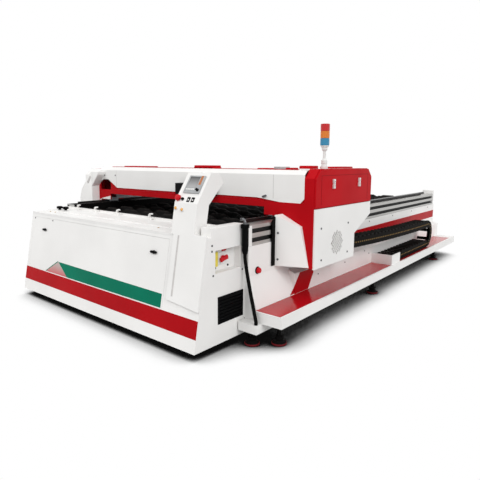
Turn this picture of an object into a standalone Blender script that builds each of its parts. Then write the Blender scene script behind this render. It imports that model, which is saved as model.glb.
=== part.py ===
"""Open-bed laser cutting machine with a travelling gantry, in metres.

The front faces -Y, the bed runs along Y and +Z is up. The origin lies on the floor under the
middle of the machine. Everything hangs on the driving sizes below.
"""

import math

import bmesh
import bpy
from mathutils import Matrix, Vector

for old_object in list(bpy.data.objects):
    bpy.data.objects.remove(old_object)

# Driving sizes of the whole machine
WIDTH = 2.63
CONSOLE_DEPTH = 0.44
BED_LENGTH = 3.76
MACHINE_LENGTH = CONSOLE_DEPTH + BED_LENGTH
GAP = 0.0003
OVERRUN = 0.02
SHEET = 0.008
FRONT = -MACHINE_LENGTH / 2
REAR = MACHINE_LENGTH / 2
SIDE = WIDTH / 2

# Widths from the right side inwards. The left side mirrors them
LEDGE_WIDTH = 0.2
LOWER_STEP = 0.065
RAIL_WIDTH = 0.12
TRAY_STEP = 0.005
CONSOLE_STEP = 0.03
LOWER_HALF = SIDE - LEDGE_WIDTH
BED_HALF = LOWER_HALF - LOWER_STEP
RAIL_IN = BED_HALF - RAIL_WIDTH
TRAY_HALF = RAIL_IN - TRAY_STEP
CONSOLE_HALF = BED_HALF - CONSOLE_STEP

# Places along the machine
GANTRY_BEHIND = 0.36
GANTRY_DEPTH = 0.85
CONSOLE_REAR = FRONT + CONSOLE_DEPTH
BED_FRONT = CONSOLE_REAR + GAP
GANTRY_FRONT = CONSOLE_REAR + GANTRY_BEHIND
GANTRY_REAR = GANTRY_FRONT + GANTRY_DEPTH

# Bed frame: a closed welded body with a wider lower box and a tray for the slats
FOOT_HEIGHT = 0.146
BED_HEIGHT = 0.454
BED_TOP = FOOT_HEIGHT + BED_HEIGHT
LOWER_BEHIND = 0.07
LOWER_FRONT = GANTRY_FRONT + LOWER_BEHIND
LOWER_RISE = 0.214
SHELF_RISE = 0.03
LOWER_TOP = FOOT_HEIGHT + LOWER_RISE
TRAY_DEPTH = 0.10
TRAY_WALL = 0.05
TRAY_FLOOR = BED_TOP - TRAY_DEPTH
FLANK_DROP = 0.19
FLANK_TOP = BED_TOP - FLANK_DROP

# Ledge along the right side, which carries the drag chain, and the skirt box at its front
LEDGE_HEIGHT = 0.072
LEDGE_TOP = FOOT_HEIGHT + LEDGE_HEIGHT
LEDGE_AHEAD = 0.02
LEDGE_FRONT = CONSOLE_REAR - LEDGE_AHEAD
LEDGE_LIP = 0.012
LEDGE_LIP_RISE = 0.004
SKIRT_DROP = 0.056
SKIRT_CLEAR = 0.010
SKIRT_OUT = 0.055
SKIRT_AHEAD = 0.070
SKIRT_LENGTH = 0.43
SKIRT_FRONT = CONSOLE_REAR - SKIRT_AHEAD
SKIRT_LOW = FOOT_HEIGHT - SKIRT_DROP

# Front console
CONSOLE_BOTTOM = 0.05
CONSOLE_OVER_BED = 0.072
CONSOLE_SETBACK = 0.111
CONSOLE_WALL = 0.03
CONSOLE_TOP = BED_TOP + CONSOLE_OVER_BED
CONSOLE_HEIGHT = CONSOLE_TOP - CONSOLE_BOTTOM

# Control pillar at the right end of the console
PILLAR_INSET = 0.10
PILLAR_WIDTH = 0.19
PILLAR_DEPTH = 0.085
PILLAR_PROUD = 0.012
PILLAR_COVER_STEP = 0.02
PILLAR_COVER_RISE = 0.235
PILLAR_COVER_SLANT = 0.025
PILLAR_NECK = 0.203
PILLAR_HEAD_RISE = 0.172
PILLAR_HEAD_SETBACK = 0.115
PILLAR_REAR_DROP = 0.013
PILLAR_HEAD_DEPTH = 0.085
PILLAR_ROUND = 0.018
PILLAR_RIGHT = CONSOLE_HALF - PILLAR_INSET
PILLAR_LEFT = PILLAR_RIGHT - PILLAR_WIDTH
PILLAR_COVER_LEFT = PILLAR_LEFT + PILLAR_COVER_STEP
PILLAR_COVER_BOTTOM = CONSOLE_BOTTOM + PILLAR_COVER_RISE
PILLAR_KINK = CONSOLE_TOP + PILLAR_NECK
PILLAR_TOP = PILLAR_KINK + PILLAR_HEAD_RISE
PILLAR_REAR_KINK = PILLAR_KINK - PILLAR_REAR_DROP

# Front door in the console, hinged along its lower edge
DOOR_RISE = 0.19
DOOR_DROP = 0.02
DOOR_MARGIN = 0.035
DOOR_TO_PILLAR = 0.018
DOOR_THICK = 0.012
DOOR_SEAM = 0.0015
DOOR_LOW = CONSOLE_BOTTOM + DOOR_RISE
DOOR_HIGH = CONSOLE_TOP - DOOR_DROP
DOOR_LEFT = DOOR_MARGIN - CONSOLE_HALF
DOOR_RIGHT = PILLAR_LEFT - DOOR_TO_PILLAR
LATCH_FROM_LEFT = 0.201
LATCH_FROM_RIGHT = 0.126
LATCH_BELOW_EDGE = 0.092
LATCH_LENGTH = 0.06
LATCH_WIDTH = 0.016
LATCH_HEIGHT = 0.010
LATCH_HUB = 0.011
LATCH_X = (DOOR_LEFT + LATCH_FROM_LEFT, DOOR_RIGHT - LATCH_FROM_RIGHT)

# Deck over the console
DECK_SHEET = 0.018
DECK_STEP = 0.006
DECK_STEP_AT = 0.13
DECK_LIP = 0.014
DECK_LIP_WIDTH = 0.014
DECK_TOP = CONSOLE_TOP + GAP + DECK_SHEET + DECK_STEP
CLIP_SHARES = (-0.78, -0.52, -0.22, 0.17, 0.59)
CLIP_RADIUS = 0.024
CLIP_BAR = 0.007
CLIP_WIDTH = 0.018
SIDE_BLOCK_CLEAR = 0.02
SIDE_BLOCK_FRONT = 0.02
SIDE_BLOCK_RISE = 0.07
SIDE_BLOCK_INNER = PILLAR_RIGHT + SIDE_BLOCK_CLEAR
SIDE_BLOCK_TOP = CONSOLE_TOP + SIDE_BLOCK_RISE

# Operator controls, in the plane of the pillar's leaning face
SCREEN_WIDTH = 0.128
SCREEN_HEIGHT = 0.118
SCREEN_THICK = 0.008
SCREEN_INSET = 0.004
SCREEN_IN = 0.087
SCREEN_UP_SHARE = 0.60
SCREEN_X = PILLAR_RIGHT - SCREEN_IN
BUTTON_RADIUS = 0.019
BUTTON_STEM = 0.011
BUTTON_HEIGHT = 0.024
BUTTON_CLEAR = 0.0005
BUTTON_SOCKET = 0.012
BUTTON_TRAVEL = 0.004
ESTOP_IN = 0.022
ESTOP_UP_SHARE = 0.13
ESTOP_X = PILLAR_LEFT + ESTOP_IN
ESTOP_SIDE_BEHIND = 0.093
ESTOP_SIDE_DROP = 0.162
ESTOP_SIDE_AT = CONSOLE_REAR + ESTOP_SIDE_BEHIND
ESTOP_SIDE_LEVEL = BED_TOP - ESTOP_SIDE_DROP
ROCKER_WIDTH = 0.022
ROCKER_LENGTH = 0.030
ROCKER_DEPTH = 0.007
ROCKER_CLEAR = 0.0008
ROCKER_IN = 0.050
ROCKER_SPACING = 0.035
ROCKER_UP_SHARE = 0.115
ROCKER_X = (PILLAR_RIGHT - ROCKER_IN - ROCKER_SPACING, PILLAR_RIGHT - ROCKER_IN)
KNOB_RADIUS = 0.009
KNOB_HEIGHT = 0.014

# Console side: filter vent and the recess of the main switch, measured from the console's rear
VENT_BEHIND = 0.015
VENT_LENGTH = 0.23
VENT_RISE = 0.12
VENT_HEIGHT = 0.165
VENT_DEPTH = 0.018
VENT_RIM = 0.012
VENT_BLADES = 7
VENT_BLADE_SHARE = 0.55
VENT_REAR = CONSOLE_REAR - VENT_BEHIND
VENT_FRONT = VENT_REAR - VENT_LENGTH
VENT_LOW = CONSOLE_BOTTOM + VENT_RISE
VENT_HIGH = VENT_LOW + VENT_HEIGHT
POCKET_BEHIND = 0.035
POCKET_LENGTH = 0.23
POCKET_DROP = 0.06
POCKET_HEIGHT = 0.134
POCKET_DEPTH = 0.055
POCKET_REAR = CONSOLE_REAR - POCKET_BEHIND
POCKET_FRONT = POCKET_REAR - POCKET_LENGTH
POCKET_HIGH = CONSOLE_TOP - POCKET_DROP
POCKET_LOW = POCKET_HIGH - POCKET_HEIGHT
SWITCH_PLATE = 0.006
SWITCH_SIDE = 0.075
HANDLE_RADIUS = 0.018
HANDLE_BAR = 0.062
HANDLE_HEIGHT = 0.020

# Rails on each side of the bed
RAIL_HEIGHT = 0.13
RAIL_SHORT = 0.05
RAIL_TOP = BED_TOP + RAIL_HEIGHT
RAIL_END = REAR - RAIL_SHORT
SLOT_HEIGHT = 0.028
SLOT_DEPTH = 0.022
SLOT_LIP = 0.005
SLOT_POCKET = 0.005
SLOT_LEVEL_SHARES = (0.17, 0.61)
GUIDE_STEP = 0.008
GUIDE_WIDTH = 0.020
GUIDE_HEIGHT = 0.022
GUIDE_WAIST = 0.004
GUIDE_IN = RAIL_IN + GUIDE_STEP
RACK_CLEAR = 0.008
RACK_HEIGHT = 0.024
RACK_BACK = GUIDE_IN + GUIDE_WIDTH + RACK_CLEAR
TOOTH_MODULE = 0.010
PINION_TEETH = 12
PRESSURE_ANGLE = math.radians(20)
ADDENDUM_SHARE = 0.70
DEDENDUM_SHARE = 0.90
TOOTH_SHARE = 0.475
RACK_BODY = 0.021
RACK_BEHIND = 0.18
RACK_SHORT = 0.29
RACK_START = GANTRY_FRONT + RACK_BEHIND
RACK_END = RAIL_END - RACK_SHORT
CAP_THICK = 0.03
CAP_RISE = 0.045
CAP_MARGIN = 0.006

# Slat bed
SLAT_DROP = 0.04
SLAT_TOP = RAIL_TOP - SLAT_DROP
SLAT_THICK = 0.008
SLAT_PITCH = 0.150
SLAT_TEETH = 7
SLAT_NOTCH = 0.028
CRATE_WALL = 0.02
CRATE_MARGIN = 0.004
CRATE_DROP = 0.036

# Gantry: the beam on its saddles
SADDLE_RISE = 0.03
SADDLE_THICK = 0.012
SADDLE_STEP = 0.085
SADDLE_LEVEL = RAIL_TOP + SADDLE_RISE
SADDLE_OUT = BED_HALF + SADDLE_STEP
SADDLE_FRONT = GANTRY_FRONT + SHEET + GAP
SADDLE_REAR = GANTRY_REAR - SHEET - GAP
BEAM_BEHIND = 0.09
BEAM_DEPTH = 0.20
BEAM_RISE = 0.07
BEAM_HEIGHT = 0.20
BEAM_WALL = 0.010
BEAM_STEP = 0.08
BEAM_FRONT = GANTRY_FRONT + BEAM_BEHIND
BEAM_REAR = BEAM_FRONT + BEAM_DEPTH
BEAM_BOTTOM = SADDLE_LEVEL + BEAM_RISE
BEAM_TOP = BEAM_BOTTOM + BEAM_HEIGHT
BEAM_HALF = BED_HALF + BEAM_STEP
X_RAIL_DEPTH = 0.015
X_RAIL_HEIGHT = 0.014
X_RAIL_RISE = 0.07
X_RAIL_DROP = 0.04
X_RAIL_LEVELS = (BEAM_BOTTOM + X_RAIL_RISE, BEAM_TOP - X_RAIL_DROP)
BLOCK_LENGTH = 0.10
BLOCK_CHEEK = 0.0055
BLOCK_CLEAR = 0.0005
RISER_WALL = 0.012

# Gantry: the hood over the beam, with the slot that the carriage's arm passes through
HOOD_RISE = 0.032
HOOD_SHEET = 0.004
HOOD_DEPTH = 0.48
HOOD_SLOPE = 0.030
HOOD_BACK_RISE = 0.07
HOOD_TOP = BEAM_TOP + HOOD_RISE
HOOD_REAR = GANTRY_FRONT + HOOD_DEPTH
HOOD_BACK_EDGE = BEAM_BOTTOM + HOOD_BACK_RISE
HOOD_FACE_TOP = HOOD_TOP - HOOD_SLOPE
TRIM_SHEET = 0.003
TRIM_DROP = 0.019
TRIM_HEIGHT = 0.046
TRIM_DEPTH = 0.43
TRIM_BOTTOM = BEAM_BOTTOM - TRIM_DROP
TRIM_TOP = TRIM_BOTTOM + TRIM_HEIGHT
TRIM_REAR = GANTRY_FRONT + TRIM_DEPTH
ARM_CLEAR = 0.004
ARM_THICK = 0.006
ARM_LEVEL = TRIM_TOP + ARM_CLEAR
COVER_EDGE = ARM_LEVEL + ARM_THICK + ARM_CLEAR
COVER_EDGE_DROP = 0.022
COVER_EDGE_RISE = 0.074
COVER_EDGE_LOW = COVER_EDGE - COVER_EDGE_DROP
COVER_EDGE_HIGH = COVER_EDGE + COVER_EDGE_RISE

# Gantry legs
LEG_OVERLAP = 0.15
LEG_INSET = 0.028
LEG_CLEAR = 0.003
LEG_DROP = 0.17
LEG_HEADROOM = 0.008
BOX_WIDTH = 0.0697
LEFT_BOX_WIDTH = 0.2547
LEFT_TOP_DROP = 0.03
LEG_INNER = BED_HALF - LEG_OVERLAP
LEG_OUTER = SIDE - LEG_INSET
LEG_SPLIT = TRIM_TOP
LEG_OPEN_LEVEL = SADDLE_LEVEL - LEG_CLEAR
BOX_INNER = LEG_OUTER - BOX_WIDTH
LEFT_BOX_INNER = SIDE - LEFT_BOX_WIDTH
GANTRY_TOP = HOOD_TOP + LEG_HEADROOM
GANTRY_BOTTOM = BED_TOP - LEG_DROP
GANTRY_CHAMFER = 0.06
NOTCH_LENGTH = 0.264
NOTCH_RISE = 0.12
NOTCH_LOW = BED_TOP
NOTCH_HIGH = NOTCH_LOW + NOTCH_RISE
NOTCH_FRONT = GANTRY_REAR - NOTCH_LENGTH
WINDOW_MARGIN = 0.035
PANEL_MARGIN = 0.006
PANEL_THICK = 0.003
PANEL_IN_LOW = 0.025
PANEL_IN_HIGH = 0.08
PANEL_DROP = 0.03
PANEL_FALL = 0.072
PANEL_PROUD = 0.09
PANEL_OUT_LOW = LEG_OUTER - PANEL_IN_LOW
PANEL_OUT_HIGH = LEG_OUTER - PANEL_IN_HIGH
PANEL_TOP_OUT = RAIL_TOP - PANEL_DROP
PANEL_TOP_IN = PANEL_TOP_OUT + PANEL_FALL
COVER_THICK = 0.0115
COVER_SEAM = 0.003
COVER_MARGIN = 0.004
COVER_JOINT_DROP = 0.038
COVER_JOINT = LEG_SPLIT - COVER_JOINT_DROP
GRILLE_BEHIND = 0.31
GRILLE_RISE = 0.138
GRILLE_AT = GANTRY_FRONT + GRILLE_BEHIND
GRILLE_LEVEL = GANTRY_BOTTOM + GRILLE_RISE
GRILLE_RADIUS = 0.080
GRILLE_PITCH = 0.026
GRILLE_HOLE = 0.0105
CATCH_IN = 0.23
CATCH_DROP = 0.098
CATCH_AT = (GANTRY_FRONT + CATCH_IN, GANTRY_REAR - CATCH_IN)
CATCH_LEVEL = GANTRY_TOP - CATCH_DROP
CATCH_LENGTH = 0.062
CATCH_WIDTH = 0.022
CATCH_HEIGHT = 0.012

# Edges of the hood's face and its caps, measured from the legs
HOOD_STEP_OUT = 0.03
HOOD_STEP_IN = 0.11
HOOD_DIP_IN = 0.06
HOOD_DIP_OUT = 0.13
CAP_SHARES = (-0.51, 0.016, 0.838)
CAP_LENGTH = 0.12
CAP_WIDTH = 0.10
CAP_HEIGHT = 0.020

# Left end pillar of the gantry
END_PILLAR_STEP = 0.015
END_PILLAR_WIDTH = 0.215
END_PILLAR_AHEAD = 0.08
END_PILLAR_RISE = 0.02
END_PILLAR_HEIGHT = 0.568
END_PILLAR_HEAD = 0.173
END_PILLAR_SETBACK = 0.052
END_PILLAR_OUT = SIDE - END_PILLAR_STEP
END_PILLAR_IN = END_PILLAR_OUT - END_PILLAR_WIDTH
END_PILLAR_FRONT = GANTRY_FRONT - END_PILLAR_AHEAD
END_PILLAR_LOW = GANTRY_BOTTOM + END_PILLAR_RISE
END_PILLAR_TOP = END_PILLAR_LOW + END_PILLAR_HEIGHT
END_PILLAR_KINK = END_PILLAR_TOP - END_PILLAR_HEAD

# Drives
SERVO_SIDE = 0.080
SERVO_HEIGHT = 0.155
SERVO_BEHIND = 0.43
SERVO_AT = GANTRY_FRONT + SERVO_BEHIND
SHAFT_RADIUS = 0.012
SHAFT_CLEAR = 0.0005
SHAFT_REACH = 0.018

# Cutting head and its carriage, measured from the middle of the machine
CARRIAGE_LEFT = 0.08
CARRIAGE_WIDTH = 0.38
CARRIAGE_AHEAD = 0.07
CARRIAGE_HEIGHT = 0.086
CARRIAGE_COVER_CLEAR = 0.005
CARRIAGE_PLATE = 0.018
CARRIAGE_CHEEK = 0.008
CARRIAGE_RIGHT = CARRIAGE_LEFT + CARRIAGE_WIDTH
CARRIAGE_FRONT = GANTRY_FRONT - CARRIAGE_AHEAD
CARRIAGE_TOP = ARM_LEVEL + CARRIAGE_HEIGHT
HEAD_IN = 0.10
HEAD_RADIUS = 0.030
HEAD_REACH = 0.048
HEAD_BACK = 0.020
HEAD_HEIGHT = 0.268
HEAD_X = CARRIAGE_RIGHT - HEAD_IN
NOZZLE_CLEAR = 0.015
NOZZLE_LENGTH = 0.047
NOZZLE_RADIUS = 0.012
NOZZLE_BORE = 0.003
NOZZLE_TIP = SLAT_TOP + NOZZLE_CLEAR
HEAD_BOTTOM = NOZZLE_TIP + NOZZLE_LENGTH
HEAD_TOP = HEAD_BOTTOM + HEAD_HEIGHT

# Signal tower
TOWER_IN = 0.037
TOWER_BEHIND = 0.185
TOWER_RADIUS = 0.030
TOWER_HEIGHT = 0.152
TOWER_X = LEG_OUTER - TOWER_IN
TOWER_AT = GANTRY_FRONT + TOWER_BEHIND
LENS_HEIGHT = 0.046
LENS_SEAM = 0.002
TOWER_BASE_RADIUS = 0.024
TOWER_BASE_HEIGHT = 0.016
TOWER_JOINT_RADIUS = 0.020
TOWER_POLE_RADIUS = 0.010

# Drag chain, between the bed's side and the leg's outer wall
CHAIN_INNER_CLEAR = 0.006
CHAIN_OUTER_CLEAR = 0.015
CHAIN_HEIGHT = 0.080
CHAIN_SIDE = 0.014
CHAIN_PITCH = 0.078
CHAIN_NOTCH = 0.012
CHAIN_NOTCH_SHARE = 0.16
CHAIN_BEND_RADIUS = 0.105
CHAIN_UPPER_RUN = 1.91
CHAIN_LOWER_RUN = 1.10
CHAIN_FREE_BEHIND = 0.56
CHAIN_FREE_RISE = 0.055
CHAIN_BAR_HEIGHT = 0.009
CHAIN_BAR_SHARE = 0.42
CHAIN_BAR_INSET = 0.004
CHAIN_IN = LOWER_HALF + CHAIN_INNER_CLEAR
CHAIN_OUT = LEG_OUTER - CHAIN_OUTER_CLEAR
CHAIN_FREE_END = GANTRY_FRONT + CHAIN_FREE_BEHIND
CHAIN_BEND_AT = CHAIN_FREE_END + CHAIN_UPPER_RUN
CHAIN_FIXED_END = CHAIN_BEND_AT - CHAIN_LOWER_RUN
ANCHOR_PLATE = 0.007
ANCHOR_LENGTH = 0.20
ANCHOR_HEIGHT = 0.088

# Feet
FOOT_RADIUS = 0.046
FOOT_PAD = 0.014
FOOT_RING_LEVEL = 0.052
FOOT_RING = 0.016
FOOT_STEM = 0.013
FOOT_FROM_SIDE = 0.09
FOOT_FROM_EDGE = 0.065
FOOT_BEHIND = 0.09
FOOT_LEFT_BEHIND = 0.46
FOOT_MIDDLE_SHARE = 0.40
FOOT_LEFT_MIDDLE_SHARE = 0.47
FOOT_FROM_REAR = 0.51
FOOT_SKIRT_IN = 0.050

# Hose down the rear corner of the console. The route's points are places outwards from the
# console's side, forwards from its rear and up from the floor
HOSE_RADIUS = 0.011
HOSE_SLEEVE_RADIUS = 0.019
HOSE_COLLAR_RADIUS = 0.026
HOSE_COLLAR_HEIGHT = 0.022
HOSE_ROUTE = (
    (0.0262, 0.028, 0.560),
    (0.0262, 0.028, 0.540),
    (0.0300, 0.029, 0.515),
    (0.0450, 0.033, 0.455),
    (0.0840, 0.042, 0.320),
    (0.1240, 0.051, 0.195),
    (0.1350, 0.054, 0.165),
    (0.1350, 0.054, 0.146),
)

ROUND_SIDES = 16


# Finishes

def finish(name, color, roughness, metallic=0.0):
    """A Principled material in one colour."""
    material = bpy.data.materials.new(name)
    material.use_nodes = True
    shader = material.node_tree.nodes["Principled BSDF"]
    shader.inputs["Base Color"].default_value = (*color, 1.0)
    shader.inputs["Roughness"].default_value = roughness
    shader.inputs["Metallic"].default_value = metallic
    return material


WHITE_PAINT = finish("white_powder_coat", (0.86, 0.86, 0.85), 0.45)
RED_PAINT = finish("red_powder_coat", (0.62, 0.01, 0.015), 0.40)
BLACK_PAINT = finish("black_paint", (0.02, 0.02, 0.022), 0.50)
BLACK_PLASTIC = finish("black_plastic", (0.015, 0.015, 0.017), 0.55)
ALUMINIUM = finish("extruded_aluminium", (0.72, 0.73, 0.74), 0.35, 1.0)
GROUND_STEEL = finish("ground_steel", (0.60, 0.61, 0.62), 0.28, 1.0)
DARK_STEEL = finish("cut_steel", (0.05, 0.05, 0.055), 0.55, 0.6)
SCREEN_GREY = finish("screen_panel", (0.25, 0.26, 0.27), 0.25)
RED_PLASTIC = finish("red_plastic", (0.65, 0.01, 0.01), 0.35)
YELLOW_PLASTIC = finish("yellow_plastic", (0.85, 0.65, 0.05), 0.40)
RUBBER = finish("black_rubber", (0.02, 0.02, 0.02), 0.80)
COPPER = finish("copper", (0.72, 0.32, 0.16), 0.30, 1.0)
LENS_RED = finish("red_lens", (0.85, 0.03, 0.02), 0.20)
LENS_ORANGE = finish("orange_lens", (0.95, 0.30, 0.02), 0.20)
LENS_BLUE = finish("blue_lens", (0.02, 0.35, 0.75), 0.20)
GREY_PLASTIC = finish("grey_plastic", (0.75, 0.75, 0.74), 0.40)


# Building blocks

AXES = {"X": Vector((1, 0, 0)), "Y": Vector((0, 1, 0)), "Z": Vector((0, 0, 1))}


def spot(axis, across, up, along):
    """A point from two outline values and a place along the axis of the extrusion."""
    if axis == "X":
        return Vector((along, across, up))
    if axis == "Y":
        return Vector((across, along, up))
    return Vector((across, up, along))


def add_prism(bm, outline, axis, low, high):
    """Adds a closed outline, extruded along an axis, to a mesh."""
    ring = [bm.verts.new(spot(axis, a, b, low)) for a, b in outline]
    face = bm.faces.new(ring)
    made = bmesh.ops.extrude_face_region(bm, geom=[face])
    moved = [item for item in made["geom"] if isinstance(item, bmesh.types.BMVert)]
    bmesh.ops.translate(bm, verts=moved, vec=AXES[axis] * (high - low))


def add_box(bm, low, high):
    """Adds a plain block between two corners to a mesh."""
    outline = [(low[0], low[1]), (high[0], low[1]), (high[0], high[1]), (low[0], high[1])]
    add_prism(bm, outline, "Z", low[2], high[2])


def add_turned(bm, profile, center, axis="Z", sides=ROUND_SIDES):
    """Adds a turned shape. The profile is a list of (radius, height) that starts and ends on the axis."""
    line = []
    for radius, height in profile:
        line.append(bm.verts.new(Vector((radius, 0, height))))
    edges = [bm.edges.new((a, b)) for a, b in zip(line, line[1:])]
    made = bmesh.ops.spin(bm, geom=line + edges, cent=(0, 0, 0), axis=(0, 0, 1),
                          angle=math.tau, steps=sides, use_merge=True)
    verts = {v for v in line if v.is_valid}
    verts |= {v for item in made["geom_last"] if item.is_valid and isinstance(item, bmesh.types.BMVert)
              for v in [item]}
    linked = set(verts)
    front = list(verts)
    while front:
        vert = front.pop()
        for edge in vert.link_edges:
            other = edge.other_vert(vert)
            if other not in linked:
                linked.add(other)
                front.append(other)
    bmesh.ops.remove_doubles(bm, verts=list(linked), dist=GAP * 0.1)
    linked = [v for v in linked if v.is_valid]
    turn = Matrix.Identity(3)
    if axis == "X":
        turn = Matrix.Rotation(math.pi / 2, 3, "Y")
    elif axis == "Y":
        turn = Matrix.Rotation(-math.pi / 2, 3, "X")
    for vert in linked:
        vert.co = turn @ vert.co + Vector(center)


def finish_object(name, bm, material, place=None, smooth=False):
    """Turns a mesh into a named object with one material, its faces pointing out."""
    bmesh.ops.recalc_face_normals(bm, faces=bm.faces)
    mesh = bpy.data.meshes.new(name)
    bm.to_mesh(mesh)
    bm.free()
    if smooth:
        mesh.shade_smooth()
        mesh.set_sharp_from_angle(angle=math.radians(40))
    thing = bpy.data.objects.new(name, mesh)
    if material is not None:
        mesh.materials.append(material)
    if place is not None:
        thing.matrix_world = place
    bpy.context.scene.collection.objects.link(thing)
    return thing


def prism(name, outline, axis, low, high, material=None, place=None):
    """A named object made of one extruded outline."""
    bm = bmesh.new()
    add_prism(bm, outline, axis, low, high)
    return finish_object(name, bm, material, place)


def block(name, low, high, material=None, place=None):
    """A named plain block."""
    bm = bmesh.new()
    add_box(bm, low, high)
    return finish_object(name, bm, material, place)


def turned(name, profile, center, material=None, axis="Z", sides=ROUND_SIDES, place=None):
    """A named turned object."""
    bm = bmesh.new()
    add_turned(bm, profile, center, axis, sides)
    return finish_object(name, bm, material, place, smooth=True)


def combine(thing, tool, operation):
    """Cuts a tool from an object, or joins it on. The tool itself stays hidden."""
    tool.hide_render = True
    tool.display_type = "WIRE"
    step = thing.modifiers.new(operation.lower(), "BOOLEAN")
    step.operation = operation
    step.solver = "EXACT"
    step.object = tool


def cut(thing, tool):
    combine(thing, tool, "DIFFERENCE")


def join(thing, tool):
    combine(thing, tool, "UNION")


def soften(thing, width):
    """Rounds the sharp edges with one flat facet."""
    step = thing.modifiers.new("edge_fold", "BEVEL")
    step.width = width
    step.segments = 1
    step.limit_method = "ANGLE"
    step.angle_limit = math.radians(40)


def frame_on(origin, across, up):
    """A placing whose local x runs across, local y runs up a face and local z points off it."""
    across = Vector(across).normalized()
    up = Vector(up).normalized()
    off = across.cross(up)
    place = Matrix((across, up, off)).transposed().to_4x4()
    place.translation = Vector(origin)
    return place


def mirrored(outline, side):
    """The outline itself on the right side, or its mirror image on the left."""
    return [(side * x, z) for x, z in outline]


def span(side, low, high):
    """Low and high places along X on one side of the machine."""
    return (low, high) if side > 0 else (-high, -low)


def face_y(z):
    """Where the console's leaning front lies at a level."""
    return FRONT + CONSOLE_SETBACK * (z - CONSOLE_BOTTOM) / CONSOLE_HEIGHT


def side_place(y, z, x=CONSOLE_HALF):
    """A placing on a side face, whose local x runs to the rear."""
    return frame_on((x, y, z), (0, 1, 0), (0, 0, 1))


def button_socket(name, place):
    """The round hole a button's stem stands in."""
    wide = BUTTON_STEM + BUTTON_CLEAR
    profile = [(0, -BUTTON_SOCKET), (wide, -BUTTON_SOCKET), (wide, OVERRUN), (0, OVERRUN)]
    return turned(name, profile, (0, 0, 0), sides=12, place=place)


# Bed frame and ledge

def make_base_frame():
    """A box over a wider lower box. At the front its flanks lean out, and the slats' tray is cut in."""
    low = FOOT_HEIGHT
    frame = block("base_frame", (-BED_HALF, BED_FRONT, low), (BED_HALF, REAR, BED_TOP), WHITE_PAINT)
    lower = [
        (-LOWER_HALF, low), (LOWER_HALF, low), (LOWER_HALF, LOWER_TOP),
        (BED_HALF - OVERRUN, LOWER_TOP + SHELF_RISE), (-BED_HALF + OVERRUN, LOWER_TOP + SHELF_RISE),
        (-LOWER_HALF, LOWER_TOP),
    ]
    join(frame, prism("lower_box_tool", lower, "Y", LOWER_FRONT, REAR))
    inside = BED_HALF - OVERRUN
    top = FLANK_TOP + (FLANK_TOP - LEDGE_TOP) * OVERRUN / LOWER_STEP
    flanks = [
        (-LOWER_HALF, low), (LOWER_HALF, low), (LOWER_HALF, LEDGE_TOP), (inside, top), (-inside, top),
        (-LOWER_HALF, LEDGE_TOP),
    ]
    join(frame, prism("flanks_tool", flanks, "Y", BED_FRONT, LOWER_FRONT + OVERRUN))
    tray = block("tray_tool", (-TRAY_HALF, BED_FRONT + TRAY_WALL, TRAY_FLOOR),
                 (TRAY_HALF, REAR - TRAY_WALL, BED_TOP + OVERRUN))
    cut(frame, tray)
    socket = button_socket("side_socket_tool", side_place(ESTOP_SIDE_AT, ESTOP_SIDE_LEVEL, BED_HALF))
    cut(frame, socket)


def make_side_ledge():
    """A flat channel along the right side, with a low lip outside and a skirt box under its front."""
    inner = LOWER_HALF + GAP
    low = FOOT_HEIGHT
    floor = LEDGE_TOP - LEDGE_LIP_RISE
    section = [
        (inner, low), (SIDE, low), (SIDE, LEDGE_TOP), (SIDE - LEDGE_LIP, LEDGE_TOP),
        (SIDE - LEDGE_LIP, floor), (inner, floor),
    ]
    ledge = prism("side_ledge", section, "Y", LEDGE_FRONT, REAR, WHITE_PAINT)
    skirt_rear = SKIRT_FRONT + SKIRT_LENGTH
    skirt = block("skirt_tool", (CONSOLE_HALF + SKIRT_CLEAR, SKIRT_FRONT, SKIRT_LOW),
                  (LOWER_HALF + SKIRT_OUT, skirt_rear, low - GAP))
    tie = block("skirt_tie_tool", (inner + GAP, LEDGE_FRONT + GAP, SKIRT_LOW + GAP),
                (LOWER_HALF + SKIRT_OUT - GAP, skirt_rear - GAP, floor - GAP))
    join(skirt, tie)
    join(ledge, skirt)


def foot_spots():
    """The place of each foot on the floor, with the level of what it carries."""
    bed = REAR - BED_FRONT
    right = SIDE - FOOT_FROM_SIDE
    left = FOOT_FROM_EDGE - LOWER_HALF
    skirt_middle = (CONSOLE_HALF + SKIRT_CLEAR + LOWER_HALF + SKIRT_OUT) / 2
    rear = REAR - FOOT_FROM_REAR
    return {
        "foot_right_tab": (skirt_middle, SKIRT_FRONT + FOOT_SKIRT_IN, SKIRT_LOW),
        "foot_right_front": (right, BED_FRONT + FOOT_BEHIND, FOOT_HEIGHT),
        "foot_right_middle": (right, BED_FRONT + FOOT_MIDDLE_SHARE * bed, FOOT_HEIGHT),
        "foot_right_rear": (right, rear, FOOT_HEIGHT),
        "foot_left_front": (left, BED_FRONT + FOOT_LEFT_BEHIND, FOOT_HEIGHT),
        "foot_left_middle": (left, BED_FRONT + FOOT_LEFT_MIDDLE_SHARE * bed, FOOT_HEIGHT),
        "foot_left_rear": (left, rear, FOOT_HEIGHT),
    }


def make_feet():
    """Levelling feet: a pad, a nut ring and a screw up to what each one carries."""
    ring = FOOT_RADIUS * 0.62
    for name, (x, y, carried) in foot_spots().items():
        top = carried - GAP
        profile = [
            (0, 0), (FOOT_RADIUS, 0), (FOOT_RADIUS, FOOT_PAD), (FOOT_STEM, FOOT_RING_LEVEL - FOOT_RING),
            (ring, FOOT_RING_LEVEL - FOOT_RING), (ring, FOOT_RING_LEVEL), (FOOT_STEM, FOOT_RING_LEVEL),
            (FOOT_STEM, top), (0, top),
        ]
        turned(name, profile, (x, y, 0), RUBBER, sides=12)


# Rails, guides and racks

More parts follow.
